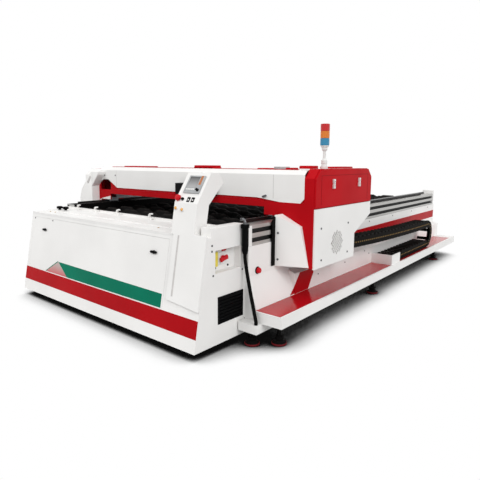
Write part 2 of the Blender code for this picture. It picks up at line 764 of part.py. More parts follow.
def make_rail_profile(name, side):
    """An aluminium section with two T-slots in its outer face."""
    low = BED_TOP + GAP
    tall = RAIL_TOP - low
    outline = [(RAIL_IN, low), (BED_HALF, low)]
    lip = BED_HALF - SLOT_LIP
    back = BED_HALF - SLOT_DEPTH
    for share in SLOT_LEVEL_SHARES:
        level = low + share * tall
        high = level + SLOT_HEIGHT
        outline += [
            (BED_HALF, level), (lip, level), (lip, level - SLOT_POCKET), (back, level - SLOT_POCKET),
            (back, high + SLOT_POCKET), (lip, high + SLOT_POCKET), (lip, high), (BED_HALF, high),
        ]
    outline += [(BED_HALF, RAIL_TOP), (RAIL_IN, RAIL_TOP)]
    prism(name, mirrored(outline, side), "Y", BED_FRONT, RAIL_END, ALUMINIUM)


def make_guide_rail(name, side):
    """A ground guide rail, narrower at its waist."""
    low = RAIL_TOP + GAP
    top = low + GUIDE_HEIGHT
    inner = GUIDE_IN
    outer = GUIDE_IN + GUIDE_WIDTH
    middle = low + GUIDE_HEIGHT / 2
    outline = [
        (inner, low), (outer, low), (outer - GUIDE_WAIST, middle), (outer, middle + GUIDE_WAIST),
        (outer, top), (inner, top), (inner, middle + GUIDE_WAIST), (inner + GUIDE_WAIST, middle),
    ]
    prism(name, mirrored(outline, side), "Y", BED_FRONT + TRAY_WALL, RAIL_END - TRAY_WALL, GROUND_STEEL)


PITCH = math.pi * TOOTH_MODULE
PITCH_LINE = RACK_BACK + RACK_BODY + DEDENDUM_SHARE * TOOTH_MODULE
PINION_PITCH_RADIUS = TOOTH_MODULE * PINION_TEETH / 2
PINION_X = PITCH_LINE + PINION_PITCH_RADIUS


def make_gear_rack(name, side):
    """A toothed rack whose teeth point away from the bed. One tooth gap faces the pinion's axis."""
    addendum = ADDENDUM_SHARE * TOOTH_MODULE
    dedendum = DEDENDUM_SHARE * TOOTH_MODULE
    half_at_pitch = TOOTH_SHARE * PITCH / 2
    half_tip = half_at_pitch - addendum * math.tan(PRESSURE_ANGLE)
    half_root = half_at_pitch + dedendum * math.tan(PRESSURE_ANGLE)
    before = math.floor((SERVO_AT - RACK_START) / PITCH)
    after = math.floor((RACK_END - SERVO_AT) / PITCH)
    outline = []
    for number in range(-before, after):
        middle = SERVO_AT + (number + 0.5) * PITCH
        outline += [
            (PITCH_LINE - dedendum, middle - half_root), (PITCH_LINE + addendum, middle - half_tip),
            (PITCH_LINE + addendum, middle + half_tip), (PITCH_LINE - dedendum, middle + half_root),
        ]
    end = SERVO_AT + after * PITCH
    start = SERVO_AT - before * PITCH
    outline += [(PITCH_LINE - dedendum, end), (RACK_BACK, end), (RACK_BACK, start),
                (PITCH_LINE - dedendum, start)]
    low = RAIL_TOP + GAP
    prism(name, mirrored(outline, side), "Z", low, low + RACK_HEIGHT, GROUND_STEEL)


def involute_point(base, radius, start_angle, hand):
    """A point of an involute flank at a radius."""
    reach = math.sqrt(max((radius / base) ** 2 - 1, 0))
    angle = start_angle + hand * (reach - math.atan(reach))
    return radius * math.cos(angle), radius * math.sin(angle)


def pinion_outline():
    """Involute teeth. The first tooth points along +X of its own frame."""
    tip = PINION_PITCH_RADIUS + ADDENDUM_SHARE * TOOTH_MODULE
    root = PINION_PITCH_RADIUS - DEDENDUM_SHARE * TOOTH_MODULE
    base = PINION_PITCH_RADIUS * math.cos(PRESSURE_ANGLE)
    involute = math.tan(PRESSURE_ANGLE) - PRESSURE_ANGLE
    half_tooth = TOOTH_SHARE * math.pi / PINION_TEETH + involute
    outline = []
    for tooth in range(PINION_TEETH):
        middle = tooth * math.tau / PINION_TEETH
        right = middle - half_tooth
        left = middle + half_tooth
        outline.append((root * math.cos(right), root * math.sin(right)))
        for radius in (base, PINION_PITCH_RADIUS, tip):
            outline.append(involute_point(base, radius, right, 1))
        for radius in (tip, PINION_PITCH_RADIUS, base):
            outline.append(involute_point(base, radius, left, -1))
        outline.append((root * math.cos(left), root * math.sin(left)))
    return outline


def make_pinion(name, side):
    """A pinion with its shaft. One tooth stands in the rack's gap at rest."""
    low = RAIL_TOP + GAP * 2
    high = SADDLE_LEVEL - GAP
    place = Matrix.Translation((side * PINION_X, SERVO_AT, 0))
    outline = [(-side * x, y) for x, y in pinion_outline()]
    pinion = prism(name, outline, "Z", low, high - GAP, GROUND_STEEL, place)
    shaft_top = SADDLE_LEVEL + SADDLE_THICK + SHAFT_REACH
    shaft = turned(name + "_shaft_tool", [(0, low + GAP), (SHAFT_RADIUS, low + GAP),
                                          (SHAFT_RADIUS, shaft_top), (0, shaft_top)],
                   (side * PINION_X, SERVO_AT, 0), sides=ROUND_SIDES)
    join(pinion, shaft)


def make_rail_end_cap(name, side):
    low_x, high_x = span(side, RAIL_IN - CAP_MARGIN, BED_HALF)
    front = RAIL_END + GAP
    cap = block(name, (low_x, front, BED_TOP + GAP), (high_x, front + CAP_THICK, RAIL_TOP + CAP_RISE),
                WHITE_PAINT)
    soften(cap, CAP_MARGIN)


# Slat bed

def make_slat_bed():
    """Notched steel slats across the bed, held by a crate that stands in the tray."""
    low = TRAY_FLOOR + GAP
    half = TRAY_HALF - CRATE_MARGIN
    front = BED_FRONT + TRAY_WALL + CRATE_MARGIN
    rear = REAR - TRAY_WALL - CRATE_MARGIN
    top = SLAT_TOP - CRATE_DROP
    crate = block("slat_bed", (-half, front, low), (half, rear, top), DARK_STEEL)
    opening = block("crate_opening_tool", (-half + CRATE_WALL, front + CRATE_WALL, low - OVERRUN),
                    (half - CRATE_WALL, rear - CRATE_WALL, top + OVERRUN))
    cut(crate, opening)
    reach = half - CRATE_WALL / 2
    tooth = 2 * reach / SLAT_TEETH
    outline = [(-reach, low + SLAT_NOTCH), (reach, low + SLAT_NOTCH), (reach, SLAT_TOP - SLAT_NOTCH)]
    for number in range(SLAT_TEETH):
        start = reach - number * tooth
        outline.append((start - tooth / 4, SLAT_TOP))
        outline.append((start - 3 * tooth / 4, SLAT_TOP))
        outline.append((start - tooth, SLAT_TOP - SLAT_NOTCH))
    room = rear - front - 2 * CRATE_WALL
    count = math.floor(room / SLAT_PITCH)
    step = room / count
    bm = bmesh.new()
    for number in range(count):
        middle = front + CRATE_WALL + (number + 0.5) * step
        add_prism(bm, outline, "Y", middle - SLAT_THICK / 2, middle + SLAT_THICK / 2)
    slats = finish_object("slats_tool", bm, None)
    join(crate, slats)


# Console with its door

def make_console_shell():
    low = CONSOLE_BOTTOM
    top = CONSOLE_TOP
    section = [(face_y(low), low), (CONSOLE_REAR, low), (CONSOLE_REAR, top), (face_y(top), top)]
    shell = prism("console_shell", section, "X", -CONSOLE_HALF, CONSOLE_HALF, WHITE_PAINT)
    wall = CONSOLE_WALL
    inner_low = low + wall
    inner_top = top - SHEET
    room = [
        (face_y(inner_low) + DOOR_THICK, inner_low), (CONSOLE_REAR - wall, inner_low),
        (CONSOLE_REAR - wall, inner_top), (face_y(inner_top) + DOOR_THICK, inner_top),
    ]
    inside = prism("console_room_tool", room, "X", -CONSOLE_HALF + wall, DOOR_RIGHT)
    cut(shell, inside)
    seam = DOOR_SEAM
    doorway_low = DOOR_LOW - GAP
    doorway_high = DOOR_HIGH + seam
    doorway = [
        (face_y(doorway_low) - OVERRUN, doorway_low), (face_y(doorway_low) + OVERRUN, doorway_low),
        (face_y(doorway_high) + OVERRUN, doorway_high), (face_y(doorway_high) - OVERRUN, doorway_high),
    ]
    hole = prism("doorway_tool", doorway, "X", DOOR_LEFT - seam, DOOR_RIGHT + seam)
    cut(shell, hole)
    vent = block("vent_hole_tool", (CONSOLE_HALF - VENT_DEPTH, VENT_FRONT, VENT_LOW),
                 (CONSOLE_HALF + OVERRUN, VENT_REAR, VENT_HIGH))
    cut(shell, vent)
    pocket = block("pocket_tool", (CONSOLE_HALF - POCKET_DEPTH, POCKET_FRONT, POCKET_LOW),
                   (CONSOLE_HALF + OVERRUN, POCKET_REAR, POCKET_HIGH))
    cut(shell, pocket)


def make_front_door():
    """A leaning panel, flush with the console, in a parallelogram section."""
    section = [
        (face_y(DOOR_LOW), DOOR_LOW), (face_y(DOOR_LOW) + DOOR_THICK, DOOR_LOW),
        (face_y(DOOR_HIGH) + DOOR_THICK, DOOR_HIGH), (face_y(DOOR_HIGH), DOOR_HIGH),
    ]
    prism("front_door", section, "X", DOOR_LEFT, DOOR_RIGHT, WHITE_PAINT)


def front_place(x, z):
    """A placing on the console's leaning front."""
    slope = (0, CONSOLE_SETBACK, CONSOLE_HEIGHT)
    return frame_on((x, face_y(z), z), (1, 0, 0), slope)


def make_door_latch(name, x):
    """A quarter-turn latch: a round hub under a bar handle."""
    place = front_place(x, DOOR_HIGH - LATCH_BELOW_EDGE)
    half = LATCH_LENGTH / 2
    wide = LATCH_WIDTH / 2
    outline = [
        (-half, -wide / 2), (-half + wide, -wide), (half - wide, -wide), (half, -wide / 2),
        (half, wide / 2), (half - wide, wide), (-half + wide, wide), (-half, wide / 2),
    ]
    latch = prism(name, outline, "Z", LATCH_HEIGHT / 2, LATCH_HEIGHT, BLACK_PLASTIC, place)
    hub = turned(name + "_hub_tool", [(0, GAP), (LATCH_HUB, GAP), (LATCH_HUB, LATCH_HEIGHT * 0.7),
                                      (0, LATCH_HEIGHT * 0.7)], (0, 0, 0), place=place)
    join(latch, hub)


def make_deck_plate():
    """A stepped sheet over the console, with a rear lip, sheet clips and the block at its right end."""
    low = CONSOLE_TOP + GAP
    front = face_y(CONSOLE_TOP)
    step_at = front + DECK_STEP_AT
    lip = CONSOLE_REAR - DECK_LIP_WIDTH
    section = [
        (front, low), (CONSOLE_REAR, low), (CONSOLE_REAR, DECK_TOP + DECK_LIP), (lip, DECK_TOP + DECK_LIP),
        (lip, DECK_TOP), (step_at, DECK_TOP), (step_at, low + DECK_SHEET), (front, low + DECK_SHEET),
    ]
    deck = prism("deck_plate", section, "X", -CONSOLE_HALF, CONSOLE_HALF, WHITE_PAINT)
    block_front = face_y(SIDE_BLOCK_TOP) + SIDE_BLOCK_FRONT
    side_block = block("side_block_tool", (SIDE_BLOCK_INNER, block_front, low + GAP),
                       (CONSOLE_HALF - GAP, CONSOLE_REAR - GAP, SIDE_BLOCK_TOP))
    join(deck, side_block)
    bm = bmesh.new()
    for share in CLIP_SHARES:
        x = share * CONSOLE_HALF
        outer = []
        inner = []
        for number in range(10):
            angle = math.radians(55) + number * math.radians(270) / 9
            outer.append((x + CLIP_RADIUS * math.cos(angle),
                          DECK_TOP + CLIP_RADIUS * 0.9 + CLIP_RADIUS * math.sin(angle)))
            small = CLIP_RADIUS - CLIP_BAR
            inner.append((x + small * math.cos(angle),
                          DECK_TOP + CLIP_RADIUS * 0.9 + small * math.sin(angle)))
        place = CONSOLE_REAR - DECK_LIP_WIDTH - CLIP_WIDTH
        add_prism(bm, outer + inner[::-1], "Y", place - CLIP_WIDTH / 2, place + CLIP_WIDTH / 2)
    clips = finish_object("clips_tool", bm, None)
    join(deck, clips)


# Control pillar

def pillar_front(z):
    return face_y(z) - PILLAR_PROUD


HEAD_FOOT = (pillar_front(PILLAR_KINK), PILLAR_KINK)
HEAD_SLOPE = (0, PILLAR_HEAD_SETBACK, PILLAR_HEAD_RISE)


def head_place(x, up_share):
    """A placing on the pillar's leaning head, a share of the way up it."""
    y = HEAD_FOOT[0] + up_share * HEAD_SLOPE[1]
    z = HEAD_FOOT[1] + up_share * HEAD_SLOPE[2]
    return frame_on((x, y, z), (1, 0, 0), HEAD_SLOPE)


def make_control_pillar():
    """A folded column on the deck that runs down over the console's front as a cover."""
    deck = CONSOLE_TOP + DECK_SHEET + GAP * 2
    rear_low = face_y(deck) + PILLAR_DEPTH
    rear_kink = face_y(PILLAR_REAR_KINK) + PILLAR_DEPTH
    top_front = pillar_front(PILLAR_KINK) + PILLAR_HEAD_SETBACK
    top_rear = top_front + PILLAR_HEAD_DEPTH
    side_view = [
        (pillar_front(deck), deck), (rear_low, deck), (rear_kink, PILLAR_REAR_KINK),
        (top_rear + PILLAR_ROUND, PILLAR_TOP - PILLAR_HEAD_DEPTH * 0.75),
        (top_rear, PILLAR_TOP - PILLAR_ROUND), (top_rear - PILLAR_ROUND, PILLAR_TOP),
        (top_front, PILLAR_TOP), HEAD_FOOT,
    ]
    pillar = prism("control_pillar", side_view, "X", PILLAR_LEFT, PILLAR_RIGHT, WHITE_PAINT)
    back = GAP
    low = PILLAR_COVER_BOTTOM
    high = deck + PILLAR_PROUD
    edge = face_y(CONSOLE_TOP) - back
    cover_view = [
        (pillar_front(low) + GAP, low), (face_y(low) - back, low), (edge, CONSOLE_TOP), (edge, high),
        (pillar_front(high) + GAP, high),
    ]
    cover = prism("pillar_cover_tool", cover_view, "X", PILLAR_COVER_LEFT, CONSOLE_HALF - GAP)
    slant = [
        (PILLAR_COVER_LEFT - OVERRUN, low - OVERRUN), (CONSOLE_HALF, low - OVERRUN),
        (CONSOLE_HALF, low - GAP), (PILLAR_COVER_LEFT - OVERRUN, low + PILLAR_COVER_SLANT),
    ]
    slant_cut = prism("cover_slant_tool", slant, "Y", FRONT - OVERRUN, FRONT + CONSOLE_SETBACK)
    cut(cover, slant_cut)
    join(pillar, cover)
    cut(pillar, button_socket("head_socket_tool", head_place(ESTOP_X, ESTOP_UP_SHARE)))
    half_wide = ROCKER_WIDTH / 2 + ROCKER_CLEAR
    half_long = ROCKER_LENGTH / 2 + ROCKER_CLEAR
    for number, x in enumerate(ROCKER_X):
        hole = block(f"rocker_hole_tool_{number}", (-half_wide, -half_long, -ROCKER_DEPTH),
                     (half_wide, half_long, OVERRUN), None, head_place(x, ROCKER_UP_SHARE))
        cut(pillar, hole)


def make_screen():
    """The operator panel: a bezel with its glass set back."""
    place = head_place(SCREEN_X, SCREEN_UP_SHARE)
    half_wide = SCREEN_WIDTH / 2
    half_tall = SCREEN_HEIGHT / 2
    panel = block("screen_panel", (-half_wide, -half_tall, GAP), (half_wide, half_tall, SCREEN_THICK),
                  SCREEN_GREY, place)
    inset = SCREEN_INSET
    key_strip = half_wide - SCREEN_WIDTH * 0.24
    glass = block("screen_glass_tool", (-half_wide + inset * 2, -half_tall + inset * 2, SCREEN_THICK / 2),
                  (key_strip, half_tall - inset * 2, SCREEN_THICK + OVERRUN), None, place)
    cut(panel, glass)
    return place


def make_estop(name, place):
    """A mushroom button whose stem stands in a socket."""
    rim = BUTTON_TRAVEL + GAP * 2
    profile = [
        (0, -BUTTON_SOCKET + rim), (BUTTON_STEM, -BUTTON_SOCKET + rim), (BUTTON_STEM, rim),
        (BUTTON_RADIUS, rim), (BUTTON_RADIUS, BUTTON_HEIGHT * 0.6),
        (BUTTON_RADIUS * 0.8, BUTTON_HEIGHT * 0.9), (0, BUTTON_HEIGHT),
    ]
    turned(name, profile, (0, 0, 0), RED_PLASTIC, sides=12, place=place)


def make_rocker(name, x):
    """A rocker key with a rounded back, so that it tilts in its hole."""
    half = ROCKER_LENGTH / 2
    deep = -ROCKER_DEPTH + GAP * 2
    section = [
        (-half, 0), (-half * 0.5, deep * 0.55), (0, deep), (half * 0.5, deep * 0.55), (half, 0),
        (half, ROCKER_DEPTH * 0.6), (0, ROCKER_DEPTH * 0.25), (-half, ROCKER_DEPTH * 0.35),
    ]
    half_wide = ROCKER_WIDTH / 2
    prism(name, section, "X", -half_wide, half_wide, BLACK_PLASTIC, head_place(x, ROCKER_UP_SHARE))


def make_jog_knob(place):
    local = Matrix.Translation((SCREEN_WIDTH * 0.38, -SCREEN_HEIGHT * 0.33, SCREEN_THICK + GAP))
    profile = [(0, 0), (KNOB_RADIUS, 0), (KNOB_RADIUS * 0.85, KNOB_HEIGHT), (0, KNOB_HEIGHT)]
    turned("jog_knob", profile, (0, 0, 0), BLACK_PLASTIC, sides=12, place=place @ local)


# Console side: vent, main switch and the hose

def make_side_vent():
    """A filter vent: a rim around slanted blades."""
    wide = (VENT_REAR - VENT_FRONT) / 2 - GAP
    tall = (VENT_HIGH - VENT_LOW) / 2 - GAP
    place = side_place((VENT_FRONT + VENT_REAR) / 2, (VENT_LOW + VENT_HIGH) / 2)
    back = -VENT_DEPTH + GAP
    vent = block("side_vent", (-wide, -tall, back), (wide, tall, VENT_RIM / 3), BLACK_PLASTIC, place)
    bm = bmesh.new()
    room = 2 * (tall - VENT_RIM)
    step = room / VENT_BLADES
    for number in range(VENT_BLADES):
        low = -tall + VENT_RIM + number * step
        open_height = step * VENT_BLADE_SHARE
        slot = [
            (low, VENT_RIM), (low + open_height, VENT_RIM), (low + open_height, 0),
            (low + step * 0.9, back / 2), (low + step * 0.9 - open_height, back / 2), (low, 0),
        ]
        add_prism(bm, slot, "X", -wide + VENT_RIM, wide - VENT_RIM)
    cut(vent, finish_object("vent_slots_tool", bm, None, place))


def make_main_switch():
    """A yellow plate in the recess, with a red handle that turns."""
    middle = (POCKET_FRONT + POCKET_REAR) / 2
    level = (POCKET_LOW + POCKET_HIGH) / 2
    back = CONSOLE_HALF - POCKET_DEPTH + GAP
    place = side_place(middle, level, back)
    half = SWITCH_SIDE / 2
    plate = block("switch_plate", (-half, -half, 0), (half, half, SWITCH_PLATE), YELLOW_PLASTIC, place)
    soften(plate, SWITCH_PLATE / 3)
    base = SWITCH_PLATE + GAP
    bar = HANDLE_BAR / 2
    wide = HANDLE_RADIUS / 2
    outline = [(-bar, -wide * 0.6), (-wide, -wide), (wide, -wide), (bar, -wide * 0.6),
               (bar, wide * 0.6), (wide, wide), (-wide, wide), (-bar, wide * 0.6)]
    handle = prism("switch_handle", outline, "Z", base + HANDLE_HEIGHT * 0.3, base + HANDLE_HEIGHT,
                   RED_PLASTIC, place)
    disc = turned("switch_disc_tool", [(0, base), (HANDLE_RADIUS, base),
                                       (HANDLE_RADIUS, base + HANDLE_HEIGHT * 0.45),
                                       (0, base + HANDLE_HEIGHT * 0.45)], (0, 0, 0), place=place)
    join(handle, disc)


def make_hose():
    """A hose held between its collar on the console's corner and the skirt box."""
    curve = bpy.data.curves.new("machine_hose", "CURVE")
    curve.dimensions = "3D"
    curve.bevel_depth = HOSE_RADIUS
    curve.bevel_resolution = 2
    curve.use_fill_caps = True
    line = curve.splines.new("POLY")
    line.points.add(len(HOSE_ROUTE) - 1)
    for point, (outwards, forwards, level) in zip(line.points, HOSE_ROUTE):
        point.co = (CONSOLE_HALF + outwards, CONSOLE_REAR - forwards, level, 1)
    hose = bpy.data.objects.new("machine_hose", curve)
    curve.materials.append(RUBBER)
    bpy.context.scene.collection.objects.link(hose)


# Drag chain

CHAIN_LOW = LEDGE_TOP - LEDGE_LIP_RISE + GAP + CHAIN_HEIGHT / 2
CHAIN_HIGH = CHAIN_LOW + 2 * CHAIN_BEND_RADIUS


def chain_path():
    """Points and directions at each joint of the chain, from its fixed end to its free end."""
    lower = CHAIN_BEND_AT - CHAIN_FIXED_END
    bend = math.pi * CHAIN_BEND_RADIUS
    upper = CHAIN_BEND_AT - CHAIN_FREE_END
    total = lower + bend + upper
    count = round(total / CHAIN_PITCH)
    path = []
    for number in range(count + 1):
        run = total * number / count
        if run <= lower:
            path.append((Vector((CHAIN_FIXED_END + run, CHAIN_LOW)), 0.0))
        elif run <= lower + bend:
            turn = (run - lower) / CHAIN_BEND_RADIUS
            y = CHAIN_BEND_AT + CHAIN_BEND_RADIUS * math.sin(turn)
            z = CHAIN_LOW + CHAIN_BEND_RADIUS * (1 - math.cos(turn))
            path.append((Vector((y, z)), turn))
        else:
            share = (run - lower - bend) / upper
            rise = CHAIN_FREE_RISE * share * share
            lean = math.atan2(2 * CHAIN_FREE_RISE * share, upper)
            path.append((Vector((CHAIN_BEND_AT - share * upper, CHAIN_HIGH + rise)), math.pi - lean))
    return path


def make_drag_chain():
    """Links as two notched side bands, held apart by a bar over and under each link."""
    path = chain_path()
    half = CHAIN_HEIGHT / 2
    outer = []
    inner = []
    bars = []
    for (start, turn_a), (end, turn_b) in zip(path, path[1:]):
        middle_turn = (turn_a + turn_b) / 2
        along = Vector((math.cos(middle_turn), math.sin(middle_turn)))
        off = Vector((-along.y, along.x))
        length = (end - start).length
        middle = (start + end) / 2
        reach = length * (0.5 - CHAIN_NOTCH_SHARE)
        notch = Vector((-math.sin(turn_b), math.cos(turn_b))) * (half - CHAIN_NOTCH)
        outer += [middle - along * reach - off * half, middle + along * reach - off * half, end - notch]
        inner += [middle - along * reach + off * half, middle + along * reach + off * half, end + notch]
        for hand in (-1, 1):
            center = middle + off * hand * (half - CHAIN_BAR_INSET - CHAIN_BAR_HEIGHT / 2)
            wide = along * (length * CHAIN_BAR_SHARE / 2)
            tall = off * (CHAIN_BAR_HEIGHT / 2)
            bars.append([center - wide - tall, center + wide - tall, center + wide + tall,
                         center - wide + tall])
    outline = [tuple(p) for p in outer[:-1] + inner[:-1][::-1]]
    chain = prism("drag_chain", outline, "X", CHAIN_IN, CHAIN_IN + CHAIN_SIDE, BLACK_PLASTIC)
    bm = bmesh.new()
    for bar in bars:
        add_prism(bm, [tuple(p) for p in bar], "X", CHAIN_IN + CHAIN_SIDE / 2, CHAIN_OUT - CHAIN_SIDE / 2)
    join(chain, finish_object("chain_bars_tool", bm, None))
    join(chain, prism("chain_side_tool", outline, "X", CHAIN_OUT - CHAIN_SIDE, CHAIN_OUT))


def make_chain_anchor():
    """The bent bracket that holds the chain's fixed end on the ledge."""
    low = LEDGE_TOP - LEDGE_LIP_RISE + GAP
    front = CHAIN_FIXED_END - ANCHOR_PLATE - GAP * 3
    inner = LOWER_HALF + GAP * 2
    outer = SIDE - LEDGE_LIP - GAP
    plan = [
        (inner, front), (outer, front), (outer, front + ANCHOR_LENGTH),
        (outer - ANCHOR_PLATE, front + ANCHOR_LENGTH), (outer - ANCHOR_PLATE, front + ANCHOR_PLATE),
        (inner, front + ANCHOR_PLATE),
    ]
    prism("chain_anchor", plan, "Z", low, low + ANCHOR_HEIGHT, WHITE_PAINT)


# Gantry legs

def leg_view(margin, top, bottom, notched):
    """The side view of a leg cover, drawn in by a margin."""
    front = GANTRY_FRONT + margin
    rear = GANTRY_REAR - margin
    high = top - margin
    corner = GANTRY_CHAMFER
    view = [(front, bottom), (front, high - corner), (front + corner, high), (rear - corner, high),
            (rear, high - corner)]
    if notched:
        view += [(rear, NOTCH_HIGH), (NOTCH_FRONT - margin, NOTCH_LOW), (NOTCH_FRONT - margin, bottom)]
    else:
        view += [(rear, NOTCH_HIGH + SHEET), (rear + margin + OVERRUN, NOTCH_HIGH + SHEET),
                 (rear + margin + OVERRUN, bottom)]
    return view


def make_leg(name, side, box_inner, outer, top):
    """A sheet-metal leg cover, open below, behind and towards the rails."""
    low, high = span(side, LEG_INNER, outer)
    leg = prism(name, leg_view(0, top, GANTRY_BOTTOM, True), "X", low, high, RED_PAINT)
    low, high = span(side, LEG_INNER - OVERRUN, outer - SHEET)
    inside = prism(name + "_inside_tool", leg_view(SHEET, top, GANTRY_BOTTOM - OVERRUN, False),
                   "X", low, high)
    cut(leg, inside)
    low, high = span(side, LEG_INNER - OVERRUN * 2, BED_HALF + LEG_CLEAR)
    rail_room = block(name + "_rail_room_tool", (low, GANTRY_FRONT - OVERRUN, GANTRY_BOTTOM - OVERRUN),
                      (high, GANTRY_REAR + OVERRUN, LEG_OPEN_LEVEL))
    cut(leg, rail_room)
    low, high = span(side, LEG_INNER - OVERRUN * 2, box_inner)
    beam_room = block(name + "_beam_room_tool", (low, GANTRY_FRONT - OVERRUN, LEG_SPLIT - SHEET),
                      (high, GANTRY_REAR + OVERRUN, top + OVERRUN))
    cut(leg, beam_room)
    return leg


def open_leg_side(leg):
    """The openings in the right leg's wall behind its door and behind the round grille."""
    low = LEG_OUTER - OVERRUN
    high = LEG_OUTER + OVERRUN
    margin = WINDOW_MARGIN
    window = block("leg_window_tool", (low, GANTRY_FRONT + margin, COVER_JOINT + margin),
                   (high, GANTRY_REAR - margin, GANTRY_TOP - GANTRY_CHAMFER - COVER_THICK))
    cut(leg, window)
    wide = GRILLE_RADIUS + GRILLE_HOLE * 1.5
    round_hole = turned("leg_vent_tool", [(0, low), (wide, low), (wide, high), (0, high)],
                        (0, GRILLE_AT, GRILLE_LEVEL), axis="X", sides=ROUND_SIDES)
    cut(leg, round_hole)


def make_leg_panel():
    """The white cover on the right leg's front, a wedge that stands proud at its inner edge."""
    inner = BED_HALF + LEG_CLEAR
    low = GANTRY_BOTTOM + PANEL_MARGIN
    outline = [(inner, low), (PANEL_OUT_LOW, low), (PANEL_OUT_HIGH, PANEL_TOP_OUT), (inner, PANEL_TOP_IN)]
    back = GANTRY_FRONT - GAP
    panel = prism("leg_panel", outline, "Y", back - PANEL_PROUD - OVERRUN, back, WHITE_PAINT)
    wedge = [(inner - OVERRUN, back + OVERRUN), (inner - OVERRUN, back - PANEL_PROUD),
             (inner, back - PANEL_PROUD), (PANEL_OUT_LOW, back - PANEL_THICK),
             (PANEL_OUT_LOW, back + OVERRUN)]
    keep = prism("leg_panel_wedge_tool", wedge, "Z", low - OVERRUN, PANEL_TOP_IN + OVERRUN)
    combine(panel, keep, "INTERSECT")


def make_cabinet_cover():
    """The white lower cover of the right leg, with its round field of diamond holes."""
    m = COVER_MARGIN
    outline = [
        (GANTRY_FRONT + m, GANTRY_BOTTOM - m), (GANTRY_FRONT + m, COVER_JOINT - COVER_SEAM),
        (GANTRY_REAR - m, COVER_JOINT - COVER_SEAM), (GANTRY_REAR - m, NOTCH_HIGH),
        (NOTCH_FRONT - m, NOTCH_LOW), (NOTCH_FRONT - m, GANTRY_BOTTOM - m),
    ]
    low = LEG_OUTER + GAP
    cover = prism("cabinet_cover", outline, "X", low, low + COVER_THICK, WHITE_PAINT)
    bm = bmesh.new()
    rows = math.floor(GRILLE_RADIUS / (GRILLE_PITCH / 2))
    for row in range(-rows, rows + 1):
        for column in range(-rows, rows + 1):
            if (row + column) % 2:
                continue
            y = column * GRILLE_PITCH / 2
            z = row * GRILLE_PITCH / 2
            if math.hypot(y, z) > GRILLE_RADIUS:
                continue
            y += GRILLE_AT
            z += GRILLE_LEVEL
            diamond = [(y - GRILLE_HOLE, z), (y, z - GRILLE_HOLE), (y + GRILLE_HOLE, z), (y, z + GRILLE_HOLE)]
            add_prism(bm, diamond, "X", low - OVERRUN / 4, low + COVER_THICK + OVERRUN)
    cut(cover, finish_object("grille_tool", bm, None))


def make_upper_door():
    """The red door of the right leg's upper box, hinged along its lower edge."""
    m = COVER_MARGIN
    low = COVER_JOINT + COVER_SEAM
    corner = GANTRY_CHAMFER
    outline = [
        (GANTRY_FRONT + m, low), (GANTRY_FRONT + m, GANTRY_TOP - m - corner),
        (GANTRY_FRONT + m + corner, GANTRY_TOP - m), (GANTRY_REAR - m - corner, GANTRY_TOP - m),
        (GANTRY_REAR - m, GANTRY_TOP - m - corner), (GANTRY_REAR - m, low),
    ]
    inner = LEG_OUTER + GAP
    prism("upper_door", outline, "X", inner, inner + COVER_THICK, RED_PAINT)


def make_catch(name, y):
    """A small turning catch on the upper door."""
    place = side_place(y, CATCH_LEVEL, LEG_OUTER + COVER_THICK + GAP * 2)
    half = CATCH_LENGTH / 2
    wide = CATCH_WIDTH / 2
    outline = [(-wide, -half), (wide, -half), (wide, -half / 3), (wide * 0.6, 0), (wide, half / 3),
               (wide, half), (-wide, half), (-wide, half / 3), (-wide * 0.6, 0), (-wide, -half / 3)]
    prism(name, outline, "Z", 0, CATCH_HEIGHT, GREY_PLASTIC, place)


# Beam

